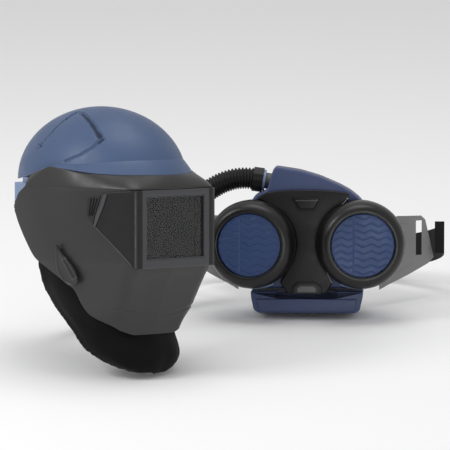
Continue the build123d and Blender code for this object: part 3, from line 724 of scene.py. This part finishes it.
def bezel_columns():
    """Top and bottom of each column of the bezel, from the right wing round to the middle."""
    off = 3.0
    corner_u = (BEZEL_Y - cheek(0, 0, off).y) / CHEEK_DIR.y
    corner = cheek(corner_u, 0, off)
    radius = 9.0
    columns = []
    for i in range(28):
        k = i / 27
        top_u, low_u = 37.5 + (corner_u - radius - 37.5) * k, 24.5 + (corner_u - radius - 24.5) * k
        columns.append((cheek(top_u, curve_at(WING_TOP, top_u), off), cheek(low_u, curve_at(WING_LOW, low_u), off)))
    start = cheek(corner_u - radius, 0, off)
    end = Vector((corner.x + radius, BEZEL_Y, 0))
    for i in range(1, 13):
        t = i / 12
        p = (1 - t) ** 2 * start + 2 * t * (1 - t) * corner + t * t * end
        u = corner_u - radius + 2 * radius * t
        columns.append((Vector((p.x, p.y, curve_at(WING_TOP, min(u, 87)))), Vector((p.x, p.y, curve_at(WING_LOW, u)))))
    xs = [-57, -54.5, -52.5, PANE[0]] + [PANE[0] + (PANE[1] - PANE[0]) * i / 20 for i in range(1, 11)]
    columns += [(Vector((x, BEZEL_Y, -26.5)), Vector((x, BEZEL_Y, -128.5))) for x in xs]
    return columns


def make_bezel():
    """Frame round the window, wrapping round the corners into a tapering wing on each cheek."""
    half = bezel_columns()
    columns = half + [(Vector((-a.x, a.y, a.z)), Vector((-b.x, b.y, b.z))) for a, b in reversed(half[:-1])]
    shares = [0, 0.02, 0.045, (PANE[3] + 26.5) / -102]
    shares += [shares[3] + ((PANE[2] + 26.5) / -102 - shares[3]) * i / 24 for i in range(1, 25)]
    shares += [0.92, 0.95, 0.98, 1.0]
    rows = [[a.lerp(b, s) for a, b in columns] for s in shares]

    def is_pane(i, j):
        p, q = rows[i][j], rows[i + 1][j + 1]
        x, z = (p.x + q.x) / 2, (p.z + q.z) / 2
        return p.y < -140 and PANE[0] < x < PANE[1] and PANE[2] < z < PANE[3]

    mesh = grid_mesh("window_bezel", placed(rows), skip=is_pane)
    bezel = add_object("window_bezel", mesh, "bezel_grey", "shield", flat_angle=0)
    # painted light and shade: the front frame gets the lighter grey while the wings and the corner bends keep the dark
    # grey, standing in for the shade where the bezel turns
    mesh.materials.append(MAT["bezel_highlight_grey"])
    inverse = HEAD.inverted()
    for face in mesh.polygons:
        c = inverse @ face.center
        face.material_index = 1 if abs(c.x) < 58.5 * MM and c.y < -0.147 else 0
    thicken(bezel, 0.0042)
    soften(bezel, 0.0011, 3, 40)
    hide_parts("window_frame")


def band_mesh(name, left, right, lift_left, lift_right, mirrored):
    """A strip between two lines of (u, z) on the cheek, standing off by given amounts, with closed sides."""
    rows = []
    for (ul, zl), (ur, zr) in zip(left, right):
        rows.append([cheek(ul, zl, lift_left - 2.0), cheek(ul, zl, lift_left), cheek(ur, zr, lift_right),
                     cheek(ur, zr, lift_right - 2.0)])
    if mirrored:
        rows = [[Vector((-p.x, p.y, p.z)) for p in row] for row in rows]
    return grid_mesh(name, placed(rows))


def make_vents():
    """Black slotted recess at the rear of each wing, and in front of it a chamfer with a painted highlight in lighter
    grey.
    """
    for mirrored, word in ((False, "right"), (True, "left")):
        plate = [(15.5, -37), (34.5, -33.6), (25.5, -61), (23.6, -72), (13.8, -60)]
        flip = -1 if mirrored else 1
        outline = [cheek(u, z, 2.3) for u, z in plate]
        back = [cheek(u, z, -1.0) for u, z in plate]
        verts = [HEAD @ (Vector((p.x * flip, p.y, p.z)) * MM) for p in outline + back]
        mesh = bpy.data.meshes.new("vent_" + word)
        n = len(plate)
        mesh.from_pydata(verts, [], [tuple(range(n)), tuple(reversed(range(n, 2 * n)))]
                         + [(i, i + n, (i + 1) % n + n, (i + 1) % n) for i in range(n)])
        clean(mesh)
        vent = add_object("vent_recess_" + word, mesh, "slot_black", "shield")
        soften(vent, 0.0005, 2)
        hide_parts("vent_" + word)
        for i in range(3):
            k = 0.22 + 0.25 * i
            left = [(16 + 18 * k, -37.6), (14.5 + 10.5 * k, -59.0)]
            right = [(16 + 18 * k + 1.3, -37.4), (14.5 + 10.5 * k + 1.3, -60.2)]
            rib = add_object(f"vent_rib_{word}_{i}", band_mesh("rib", left, right, 3.2, 3.2, mirrored),
                             "black_plastic", "shield")
            soften(rib, 0.0003, 2)
        # painted highlight: the chamfer faces the key light and also carries the lighter grey, so its bright strip is
        # partly its tilt and partly painted
        line_a = [(36.2, -32.6), (31.5, -47), (26.2, -62), (24.3, -72.5)]
        line_b = [(45.5, -31.2), (40.0, -47), (33.5, -62), (27.2, -75.2)]
        chamfer = add_object("bezel_chamfer_" + word, band_mesh("chamfer", line_a, line_b, 2.4, 4.6, mirrored),
                             "bezel_highlight_grey", "shield", flat_angle=20)
        soften(chamfer, 0.0004, 2, 30)
        # painted highlight: a thin raised band in the lighter grey along the wing's lower edge stands in for the light
        # caught by that edge
        steps = [i / 16 for i in range(17)]
        low = [(24.5 + (81 - 24.5) * k, curve_at(WING_LOW, 24.5 + (81 - 24.5) * k)) for k in steps]
        rim = add_object("bezel_highlight_grey_" + word,
                         band_mesh("rim", [(u - 0.6, z - 0.9) for u, z in low], [(u + 0.6, z + 0.5) for u, z in low],
                                   2.6, 3.7, mirrored), "bezel_highlight_grey", "shield", flat_angle=20)
        soften(rim, 0.0004, 2, 30)


def slab_mesh(name, x0, x1, y0, y1, z0, z1):
    return prism_mesh(name, [(x0, z0), (x1, z0), (x1, z1), (x0, z1)], head, y0, y1)


def make_window():
    """Clear cover, dark filter and inner plate behind the bezel, and a fine lip round the sight."""
    cover = add_object("cover_pane", slab_mesh("cover_pane", -53.5, 53.5, -146.0, -144.6, -120.5, -32.0),
                       "clear_plate", "shield")
    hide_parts("cover_plate")
    glass = add_object("filter_glass", slab_mesh("filter_glass", -54.5, 54.5, -143.6, -140.6, -121, -32),
                       "welding_glass", "shield")
    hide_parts("welding_filter")
    inner = add_object("inner_pane", slab_mesh("inner_pane", -54.0, 54.0, -139.6, -138.4, -121, -32),
                       "clear_plate", "shield")
    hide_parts("inner_plate")
    # painted highlight: the lips round the sight carry the lighter grey so the sight's edges read as bright lines
    lips = [("side_left", PANE[1] - 1.6, PANE[1], PANE[2], PANE[3]),
            ("side_right", PANE[0], PANE[0] + 1.2, PANE[2], PANE[3]),
            ("low", PANE[0], PANE[1], PANE[2], PANE[2] + 1.4), ("top", PANE[0], PANE[1], PANE[3] - 1.2, PANE[3])]
    for word, x0, x1, z0, z1 in lips:
        lip = add_object("sight_lip_" + word, slab_mesh("lip", x0, x1, -147.6, -144.7, z0, z1), "bezel_highlight_grey", "shield")
        soften(lip, 0.0004, 2)
    bar = slab_mesh("post", PANE[1] - 14.5, PANE[1] - 13.3, -143.9, -143.0, PANE[2], PANE[3])
    post = add_object("sight_post", bar, "bezel_grey", "shield")
    soften(post, 0.0003, 2)


CLIP_AT = (100.6, -46, -128)    # middle of a clip's inner face
CLIP_TURN, CLIP_TILT = 10.8, -8  # degrees, following the cheek
# Outline of the clip in (y, z) about its middle: a drop with its point up
CLIP_DROP = [(12.5, 29), (14.5, 28), (16.5, -4), (4, -22), (-9.5, -27), (-19, -21.5), (-15, -3), (6.4, 19.5)]
CLIP_SLOT = [(-0.5, 11), (3.0, 9.5), (-10.5, -15), (-15.5, -13.5)]


def make_clips():
    """Teardrop levers on the cheeks, with a raised rim round an inner slot."""
    for flip, word in ((-1, "right"), (1, "left")):
        body = "clip_" + word
        turn = (Matrix.Rotation(math.radians(CLIP_TURN * -flip), 3, "Z")
                @ Matrix.Rotation(math.radians(CLIP_TILT * -flip), 3, "Y"))
        centre = Vector((flip * CLIP_AT[0], CLIP_AT[1], CLIP_AT[2]))

        def place(v, out, w):
            return HEAD @ ((centre + turn @ Vector((flip * out, v, w))) * MM)

        shape = rounded(CLIP_DROP, 9, 6)
        clip = pillow("teardrop_clip_" + word, shape, place,
                      [(0.3, 0.3), (0.6, 0), (3.0, 0), (4.0, 0.35), (4.6, 1.1), (4.7, 1.9), (3.6, 2.9),
                       (3.4, 3.6)],
                      "shield_grey", body, 40)
        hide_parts("shield_clip_" + word)
        pillow("clip_rim_" + word, rounded(inset_outline(CLIP_SLOT, -2.2), 2.5, 5), place,
               [(3.0, 0), (4.2, 0), (4.7, 0.5), (4.7, 1.2), (4.2, 1.7)], "bezel_highlight_grey", body, 40)
        pillow("clip_slot_" + word, rounded(CLIP_SLOT, 2.5, 5), place, [(3.2, 0), (4.5, 0), (4.6, 0.3)], "slot_black",
               body, 40)


# ---------------------------------------------------------------- soft goods
def evaluated_mesh(obj):
    graph = bpy.context.evaluated_depsgraph_get()
    return bpy.data.meshes.new_from_object(obj.evaluated_get(graph), depsgraph=graph)


def inflate(mesh, voxel, cap, pressure=4.0, frames=20):
    """Puff a closed padded form by a short cloth simulation, and return the settled mesh."""
    scene = bpy.context.scene
    obj = bpy.data.objects.new("simulated", mesh)
    bpy.context.collection.objects.link(obj)
    remesh = obj.modifiers.new("voxels", "REMESH")
    remesh.mode = "VOXEL"
    remesh.voxel_size = voxel
    base = evaluated_mesh(obj)
    obj.modifiers.clear()
    obj.data = base
    rest = [v.co.copy() for v in base.vertices]
    cloth = obj.modifiers.new("cloth", "CLOTH")
    cloth.settings.quality = 5
    cloth.settings.use_pressure = True
    cloth.settings.uniform_pressure_force = pressure
    cloth.settings.effector_weights.gravity = 0
    cloth.point_cache.frame_start = 1
    cloth.point_cache.frame_end = frames
    for frame_number in range(1, frames + 1):
        scene.frame_set(frame_number)
    settled = evaluated_mesh(obj)
    for vertex, start in zip(settled.vertices, rest):
        move = vertex.co - start
        if move.length > cap:
            vertex.co = start + move.normalized() * cap
    scene.frame_set(1)
    bpy.data.objects.remove(obj)
    return settled


SEAL_LEVELS = [(-108, 101, 102, -20), (-150, 91, 92, -10), (-193, 78.5, 77, -25), (-219, 71, 61, -40),
               (-232, 69, 60, -49), (-243, 65, 56, -59), (-252, 58, 48, -70), (-262, 45, 35, -81), (-269, 28, 21, -91),
               (-273, 9, 7, -98)]
SEAL_REAR = [(-108, 19), (-121, 26), (-137, 24), (-162, 20), (-178, 13), (-193, 3), (-211, -14), (-232, -31),
             (-243, -46), (-252, -61), (-262, -75), (-269, -87), (-273, -96)]


def seal_point(z, share, lift=0.0):
    """A place on the seal: share 0 at the right rear edge, 1 at the left rear edge."""
    a, b, yc = (curve_at([(row[0], row[i]) for row in SEAL_LEVELS], z) for i in (1, 2, 3))
    reach = max(-0.98, min(0.98, (yc - curve_at(SEAL_REAR, z)) / b))
    start = math.asin(reach)
    turn = start + (math.pi - 2 * start) * share
    return Vector((-(a + lift) * math.cos(turn), yc - (b + lift) * math.sin(turn), z))


def seal_fold(z, share):
    """Soft gathers running from the chin up along the cheeks."""
    chin = smooth(-200, -250, z)
    gather = 0.8 * math.sin(2 * math.pi * (share * 4.2 + z * 0.006)) * chin
    side = 0.8 * math.sin(z * 0.075 + 9 * abs(share - 0.5)) * (1 - chin)
    drift = 3.2 * noise.noise(Vector((share * 5, z * 0.018, 0.4)))
    drift += 1.2 * noise.noise(Vector((share * 15, z * 0.04, 3.1)))
    edge = min(share, 1 - share)
    hem = 1.6 * smooth(0.045, 0.02, edge) - 1.1 * smooth(0.02, 0.008, abs(edge - 0.055))
    return gather + side + drift + hem


def make_seal():
    """Padded fabric seal under the chin and along the jaw, open at the back for the neck."""
    zs = [-110 - 163 * i / 66 for i in range(67)]
    shares = [i / 90 for i in range(91)]
    outer = [[seal_point(z, s, seal_fold(z, s)) for s in shares] for z in zs]
    inner = [[seal_point(min(z + (5 if z < -255 else 0), -110), s, -6.5) for s in shares] for z in zs]
    rows = []
    for o, i in zip(outer, inner):
        ring = list(o)
        ring.append(o[-1].lerp(i[-1], 0.5) + Vector((0, 1.5, 0)))
        ring += reversed(i)
        ring.append(o[0].lerp(i[0], 0.5) + Vector((0, 1.5, 0)))
        rows.append(ring)
    mesh = grid_mesh("face_seal", placed(rows), wrap_u=True)
    close_ends(mesh)
    mesh = inflate(mesh, 0.0042, 0.005, 1.5)
    seal = add_object("fabric_seal", mesh, "seal_fabric", "shield", flat_angle=0)
    smoother = seal.modifiers.new("soft", "SUBSURF")
    smoother.levels = 1
    smoother.render_levels = 1
    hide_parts("face_seal")


# ---------------------------------------------------------------- fan unit
HOUSING = [(-56, 170), (-46, 203), (-10, 197.5), (17, 189.5), (43, 178.5), (59, 170), (74, 158), (96, 120), (96, 62),
           (78, 34), (-78, 34), (-96, 62), (-96, 120), (-73, 163)]
PANEL = [(-57, 167.5), (-40, 170), (-22, 171.4), (17, 171.4), (38, 170), (58, 167.5), (59, 161), (50, 151.5), (40, 140),
         (29, 126), (20, 112), (15.5, 103), (14, 97), (15.5, 88), (20, 76), (28, 59), (36, 43), (25, 23.5), (-26, 25),
         (-37, 43), (-28, 59), (-20, 76), (-15.5, 88), (-14, 97), (-15.5, 103), (-20, 112), (-29, 126), (-40, 140),
         (-56, 151.5), (-70, 160)]
BUTTON = [(-20, 161), (20, 161), (10, 145), (-10, 145)]


def inset_outline(points, d):
    """A closed outline moved inwards by d."""
    n = len(points)
    area = sum(points[i][0] * points[(i + 1) % n][1] - points[(i + 1) % n][0] * points[i][1] for i in range(n))
    way = 1 if area > 0 else -1
    result = []
    for i in range(n):
        a, p, b = Vector(points[i - 1]), Vector(points[i]), Vector(points[(i + 1) % n])
        e1, e2 = (p - a).normalized(), (b - p).normalized()
        normal = Vector((-e1.y - e2.y, e1.x + e2.x)) * way
        normal = normal.normalized() if normal.length > 1e-6 else Vector((0, 0))
        stretch = max(0.6, normal.dot(Vector((-e1.y, e1.x)) * way))
        q = p + normal * (d / stretch)
        result.append((q.x, q.y))
    return result


def pillow(name, outline, place, profile, slot, body="root", flat_angle=32):
    """A closed prism whose edges follow a profile of (depth y, inset)."""
    mesh = bpy.data.meshes.new(name)
    n = len(outline)
    verts, faces = [], []
    for y, inset in profile:
        verts += [place(x, y, z) for x, z in (inset_outline(outline, inset) if inset else outline)]
    for i in range(len(profile) - 1):
        for j in range(n):
            k = (j + 1) % n
            faces.append((i * n + j, i * n + k, (i + 1) * n + k, (i + 1) * n + j))
    faces.append(tuple(range(n)))
    faces.append(tuple(reversed(range(len(verts) - n, len(verts)))))
    mesh.from_pydata(verts, [], faces)
    clean(mesh)
    return add_object(name, mesh, slot, body, flat_angle)


def front_profile(front, back, round_by, steps=5):
    """Flat front with a rounded edge, then straight back."""
    profile = []
    for i in range(steps + 1):
        a = math.radians(90) * i / steps
        profile.append((front + round_by * (1 - math.sin(a)), round_by * (1 - math.cos(a))))
    profile.reverse()
    return profile + [(back, 0.0)]


def make_housing():
    shape = rounded(HOUSING, 6, 5)
    front = pillow("fan_housing_front", shape, fan, front_profile(-22, 0, 3.5), "fan_blue")
    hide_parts("housing_front")
    rear = pillow("fan_housing_rear", shape, fan, [(0.3, 0.8), (0.8, 0), (25, 0), (27.5, 0.8), (29.3, 2.6), (30, 5)],
                  "fan_blue")
    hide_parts("housing_rear")
    panel = pillow("panel_face", rounded(PANEL, 3, 3), fan, front_profile(-33, -22.2, 2.2), "black_plastic")
    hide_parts("centre_panel")
    # painted highlight: a thin light-grey bead along the panel's right-hand concave edge stands in for the light caught
    # by that glossy edge
    bead = [(x, z) for x, z in PANEL if x > 13 and 40 < z < 162]
    bead.sort(key=lambda p: p[1])
    rows = []
    dense = [(curve_at([(z, x) for x, z in bead], 43 + 118 * i / 80), 43 + 118 * i / 80) for i in range(81)]
    for x, z in dense:
        rows.append([fan(x - 1.3 + 0.55 * math.cos(a), -32.3 + 0.55 * math.sin(a), z)
                     for a in (2 * math.pi * k / 8 for k in range(8))])
    add_object("edge_highlight_bead", grid_mesh("edge_highlight_bead", rows, wrap_u=True), "edge_highlight_bead")
    skirt = [(-23, 163.5), (23, 163.5), (12, 142.5), (-12, 142.5)]
    pillow("button_skirt", rounded(skirt, 3, 4), fan, front_profile(-33.8, -32.5, 0.6), "black_plastic")
    button = pillow("press_button", rounded(BUTTON, 2.5, 4), fan, front_profile(-37, -33, 1.8), "black_plastic",
                    "button")
    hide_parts("control_button")
    line = [(-16, 157.6), (16, 157.6), (15.4, 156.4), (-15.4, 156.4)]
    pillow("button_line", line, fan, front_profile(-37.35, -36.5, 0.3), "bezel_highlight_grey", "button")
    arch = [(-21, 26.5), (-21, 37), (-12, 44.5), (12, 44.5), (21, 37), (21, 26.5)]
    pillow("slot_arch", rounded(arch, 3, 4), fan, front_profile(-34.2, -32.5, 1.0), "black_plastic")
    mouth = [(-17, 28), (-17, 36), (-10, 41), (10, 41), (17, 36), (17, 28)]
    pillow("slot_mouth", rounded(mouth, 2, 4), fan, front_profile(-34.5, -33.8, 0.2), "slot_black")
    insert = [(-13, 29.5), (-13, 35), (-9, 38), (9, 38), (13, 35), (13, 29.5)]
    strip = pillow("slot_insert", rounded(insert, 1.5, 3), fan, front_profile(-35.1, -34.3, 0.5), "inner_plastic")
    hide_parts("indicator_insert")


def filter_frame(side):
    """Centre and directions of a filter: out of the fan, sideways and up."""
    a = math.radians(7 * side)
    centre = Vector((side * 73, -22.3, 97))
    out = Vector((math.sin(a), -math.cos(a), 0))
    across = Vector((math.cos(a), math.sin(a), 0))
    return centre, out, across, Vector((0, 0, 1))


def lathe(name, side, profile, slot, body, around=128, flat_angle=0):
    centre, out, across, up = filter_frame(side)
    rows = []
    for r, depth in profile:
        ring = []
        for k in range(around):
            a = 2 * math.pi * k / around
            p = centre + out * depth + (across * math.cos(a) + up * math.sin(a)) * r
            ring.append(fan(p.x, p.y, p.z))
        rows.append(ring)
    return add_object(name, grid_mesh(name, rows, wrap_u=True), slot, body, flat_angle)


def disc_relief(u, v):
    """Pressed waves, one upright line and a centre dot on the pre-filter's face."""
    bend = 1.9 * math.sin(2 * math.pi * (u + 4) / 21)
    row = (v + bend) / 9.6
    d = abs(row - round(row)) * 9.6
    relief = -0.9 * (1 - smooth(0.35, 1.5, d)) * smooth(43, 40.5, math.hypot(u, v)) * smooth(0.6, 2.2, abs(u + 13))
    relief = min(relief, -0.7 * (1 - smooth(0.3, 1.0, abs(u + 13))) * smooth(40, 37, abs(v)))
    relief += 0.9 * (1 - smooth(0.9, 1.9, math.hypot(u, v)))
    return relief


def make_filters():
    for side, word in ((-1, "left"), (1, "right")):
        body = "filter_" + word
        profile = [(52.6, 13.2), (56.5, 13.4), (59.6, 14.6), (61.1, 17.2), (61.5, 21)]
        for i in range(1, 21):
            t = math.radians(90) * i / 20
            profile.append((46.6 + 14.9 * math.cos(t) ** 0.92, 23 + 26.3 * math.sin(t) ** 0.92))
        profile += [(45.6, 49.1), (44.9, 48.4), (44.6, 47.2), (44.5, 43.0), (44.5, 41.9), (52.0, 40.5), (52.6, 38)]
        profile += [(52.6, 14.5), (52.6, 13.2)]
        cover = lathe("round_cover_" + word, side, profile, "cover_black", body)
        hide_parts("filter_cover_" + word)
        centre, out, across, up = filter_frame(side)
        rows = []
        for i in range(71):
            r = 44.0 * (i / 70) if i < 70 else 44.0
            ring = []
            for k in range(280):
                a = 2 * math.pi * k / 280
                u, v = r * math.cos(a), r * math.sin(a)
                edge = -0.8 * smooth(42.6, 44.0, r)
                p = centre + out * (45.6 + disc_relief(u, v) + edge) + across * u + up * v
                ring.append(fan(p.x, p.y, p.z))
            rows.append(ring)
        rows.append([fan(*(centre + out * 42.3 + (across * math.cos(2 * math.pi * k / 280)
                                                  + up * math.sin(2 * math.pi * k / 280)) * 44.0)) for k in range(280)])
        disc = add_object("wave_disc_" + word, grid_mesh("wave_disc", rows, wrap_u=True), "prefilter_blue", body, 0)
        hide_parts("prefilter_" + word)
        collar = lathe("socket_collar_" + word, side, [(36, -1.5), (59.0, -1.5), (60.6, 0.5), (61.0, 4.0), (60.4, 8.0),
                                                       (58.6, 10.6), (54.0, 11.6), (43, 11.8), (36, 11.8), (36, -1.5)],
                       "black_plastic", "root")
        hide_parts("filter_socket_" + word)
        first, last = (200, 296) if side < 0 else (244, 340)
        rows = []
        for k in range(61):
            a = math.radians(first + (last - first) * k / 60)
            middle = centre + out * 3.0 + (across * math.cos(a) + up * math.sin(a)) * 62.2
            spoke = across * math.cos(a) + up * math.sin(a)
            rows.append([fan(*(middle + spoke * 1.6 * math.cos(b) + out * 3.4 * math.sin(b)))
                         for b in (2 * math.pi * i / 12 for i in range(12))])
        add_object("cradle_rim_" + word, grid_mesh("cradle_rim", rows, wrap_u=True), "light_blue_plastic", "root", 0)


def make_battery():
    front = [(-78, 30.6), (-77, 20), (-73.5, 4.5), (-67, 0.4), (67, 0.4), (73.5, 4.5), (77, 20), (78, 30.6), (42, 30.6),
             (38.5, 21.6), (-38.5, 21.6), (-42, 30.6)]
    rear = [(-78, 30.6), (-77, 20), (-73.5, 4.5), (-67, 0.4), (67, 0.4), (73.5, 4.5), (77, 20), (78, 30.6)]
    case = pillow("battery_front", rounded(front, 2.5, 4), fan, front_profile(-34, -21.6, 2.2), "fan_blue", "battery")
    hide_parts("battery_pack")
    pillow("battery_case", rounded(rear, 2.5, 4), fan, [(-21.7, 0), (23, 0), (25.2, 0.9), (26, 2.8)], "fan_blue",
           "battery")
    raised = [(-70, 20), (-66, 3.2), (66, 3.2), (70, 20)]
    pillow("battery_face", rounded(raised, 3, 4), fan, front_profile(-37, -33.5, 1.4), "fan_blue", "battery")


# ---------------------------------------------------------------- belt
BELT_R, BELT_Y = 224, 252    # front of the curved hip plates: radius, and depth of its centre
PAD_R = 214.5                # middle of the back pad


def belt_point(x, z, off=0.0):
    """A place on the front of the curved hip plates, off forwards."""
    r = BELT_R + off
    turn = x / BELT_R
    return fan(r * math.sin(turn), BELT_Y - r * math.cos(turn), z)


def arc_x(x):
    """Distance round the plate's curve at a front-view x."""
    return BELT_R * math.asin(x / BELT_R)


def make_plates():
    """Raised inner panel with a fine edge on each hip plate."""
    for side, word in ((-1, "left"), (1, "right")):
        def place(x, y, z):
            return belt_point(side * x, z, y)

        corners = [(arc_x(112), 48), (arc_x(146), 63), (arc_x(141), 117), (arc_x(112), 118)]
        outline = rounded(corners, 4, 5)
        fine = []
        for (x0, z0), (x1, z1) in zip(outline, outline[1:] + outline[:1]):
            steps = max(1, int(math.hypot(x1 - x0, z1 - z0) / 3))
            fine += [(x0 + (x1 - x0) * i / steps, z0 + (z1 - z0) * i / steps) for i in range(steps)]
        mesh = bpy.data.meshes.new("hip_panel")
        n = len(fine)
        verts, faces = [], []
        for off, inset in ((-0.6, 0.0), (0.7, 0.0), (1.1, 0.5), (1.1, 12.0), (1.1, 24.0)):
            if inset < 5:
                verts += [place(x, off, z) for x, z in inset_outline(fine, inset)]
            else:
                k = 1 - inset / 26
                verts += [place(126 + arc_x(3) + (x - 130) * k, off, 86 + (z - 86) * k) for x, z in fine]
        for i in range(4):
            for j in range(n):
                k = (j + 1) % n
                faces.append((i * n + j, i * n + k, (i + 1) * n + k, (i + 1) * n + j))
        faces.append(tuple(range(4 * n, 5 * n)))
        mesh.from_pydata(verts, [], faces)
        clean(mesh)
        add_object("hip_panel_" + word, mesh, "hip_plate_grey", "root", 30)


def make_back_pad():
    """Soft pad between the fan unit and the wearer, puffed by simulation."""
    rows = []
    for i in range(21):
        z = 35 + 82 * i / 20
        front, back = [], []
        for k in range(41):
            x = -88 + 176 * k / 40
            edge = min(1.0, 6 * min(i, 20 - i) / 20, 8 * min(k, 40 - k) / 40)
            half = 1.2 + 3.0 * edge ** 0.5
            turn = x / PAD_R
            for r, line in ((PAD_R + half, front), (PAD_R - half, back)):
                line.append(fan(r * math.sin(turn), BELT_Y - r * math.cos(turn), z))
        rows.append(front + list(reversed(back)))
    mesh = grid_mesh("back_pad", rows, wrap_u=True)
    close_ends(mesh)
    pad = add_object("belt_back_pad", inflate(mesh, 0.004, 0.0015, 2.0), "foam", "root", 0)
    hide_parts("back_pad")


# ---------------------------------------------------------------- stage
def make_stage():
    """Pale floor and soft studio lights."""
    mesh = bpy.data.meshes.new("floor")
    size = 30.0
    mesh.from_pydata([(-size, -size, FLOOR_Z), (size, -size, FLOOR_Z), (size, size, FLOOR_Z), (-size, size, FLOOR_Z)],
                     [], [(0, 1, 2, 3)])
    floor = bpy.data.objects.new("floor", mesh)
    bpy.context.collection.objects.link(floor)
    mesh.materials.append(new_material("floor", (0.93, 0.93, 0.93), 0.9, 0.0, 0.1)[0])
    world = bpy.data.worlds.new("world")
    bpy.context.scene.world = world
    world.use_nodes = True
    world.node_tree.nodes["Background"].inputs["Color"].default_value = (1, 1, 1, 1)
    world.node_tree.nodes["Background"].inputs["Strength"].default_value = 0.60
    # name, place, size in metres, power in watts
    lights = [("key", (-1.9, -0.9, 1.7), 1.0, 27), ("fill", (0.88, -2.8, 0.08), 0.7, 11),
              ("top", (0.3, 0.3, 2.4), 1.6, 20)]
    for name, place, size, power in lights:
        data = bpy.data.lights.new(name, "AREA")
        data.size = size
        data.energy = power
        lamp = bpy.data.objects.new(name, data)
        lamp.location = place
        lamp.rotation_euler = (Vector((0.16, 0.1, -0.1)) - Vector(place)).to_track_quat("-Z", "Y").to_euler()
        bpy.context.collection.objects.link(lamp)
    bpy.context.scene.view_settings.view_transform = "Standard"


make_camera()
make_hose()
finish_nodes()
make_helmet()
make_shield()
make_bezel()
make_vents()
make_window()
make_clips()
make_seal()
make_housing()
make_filters()
make_battery()
make_plates()
make_back_pad()
make_stage()
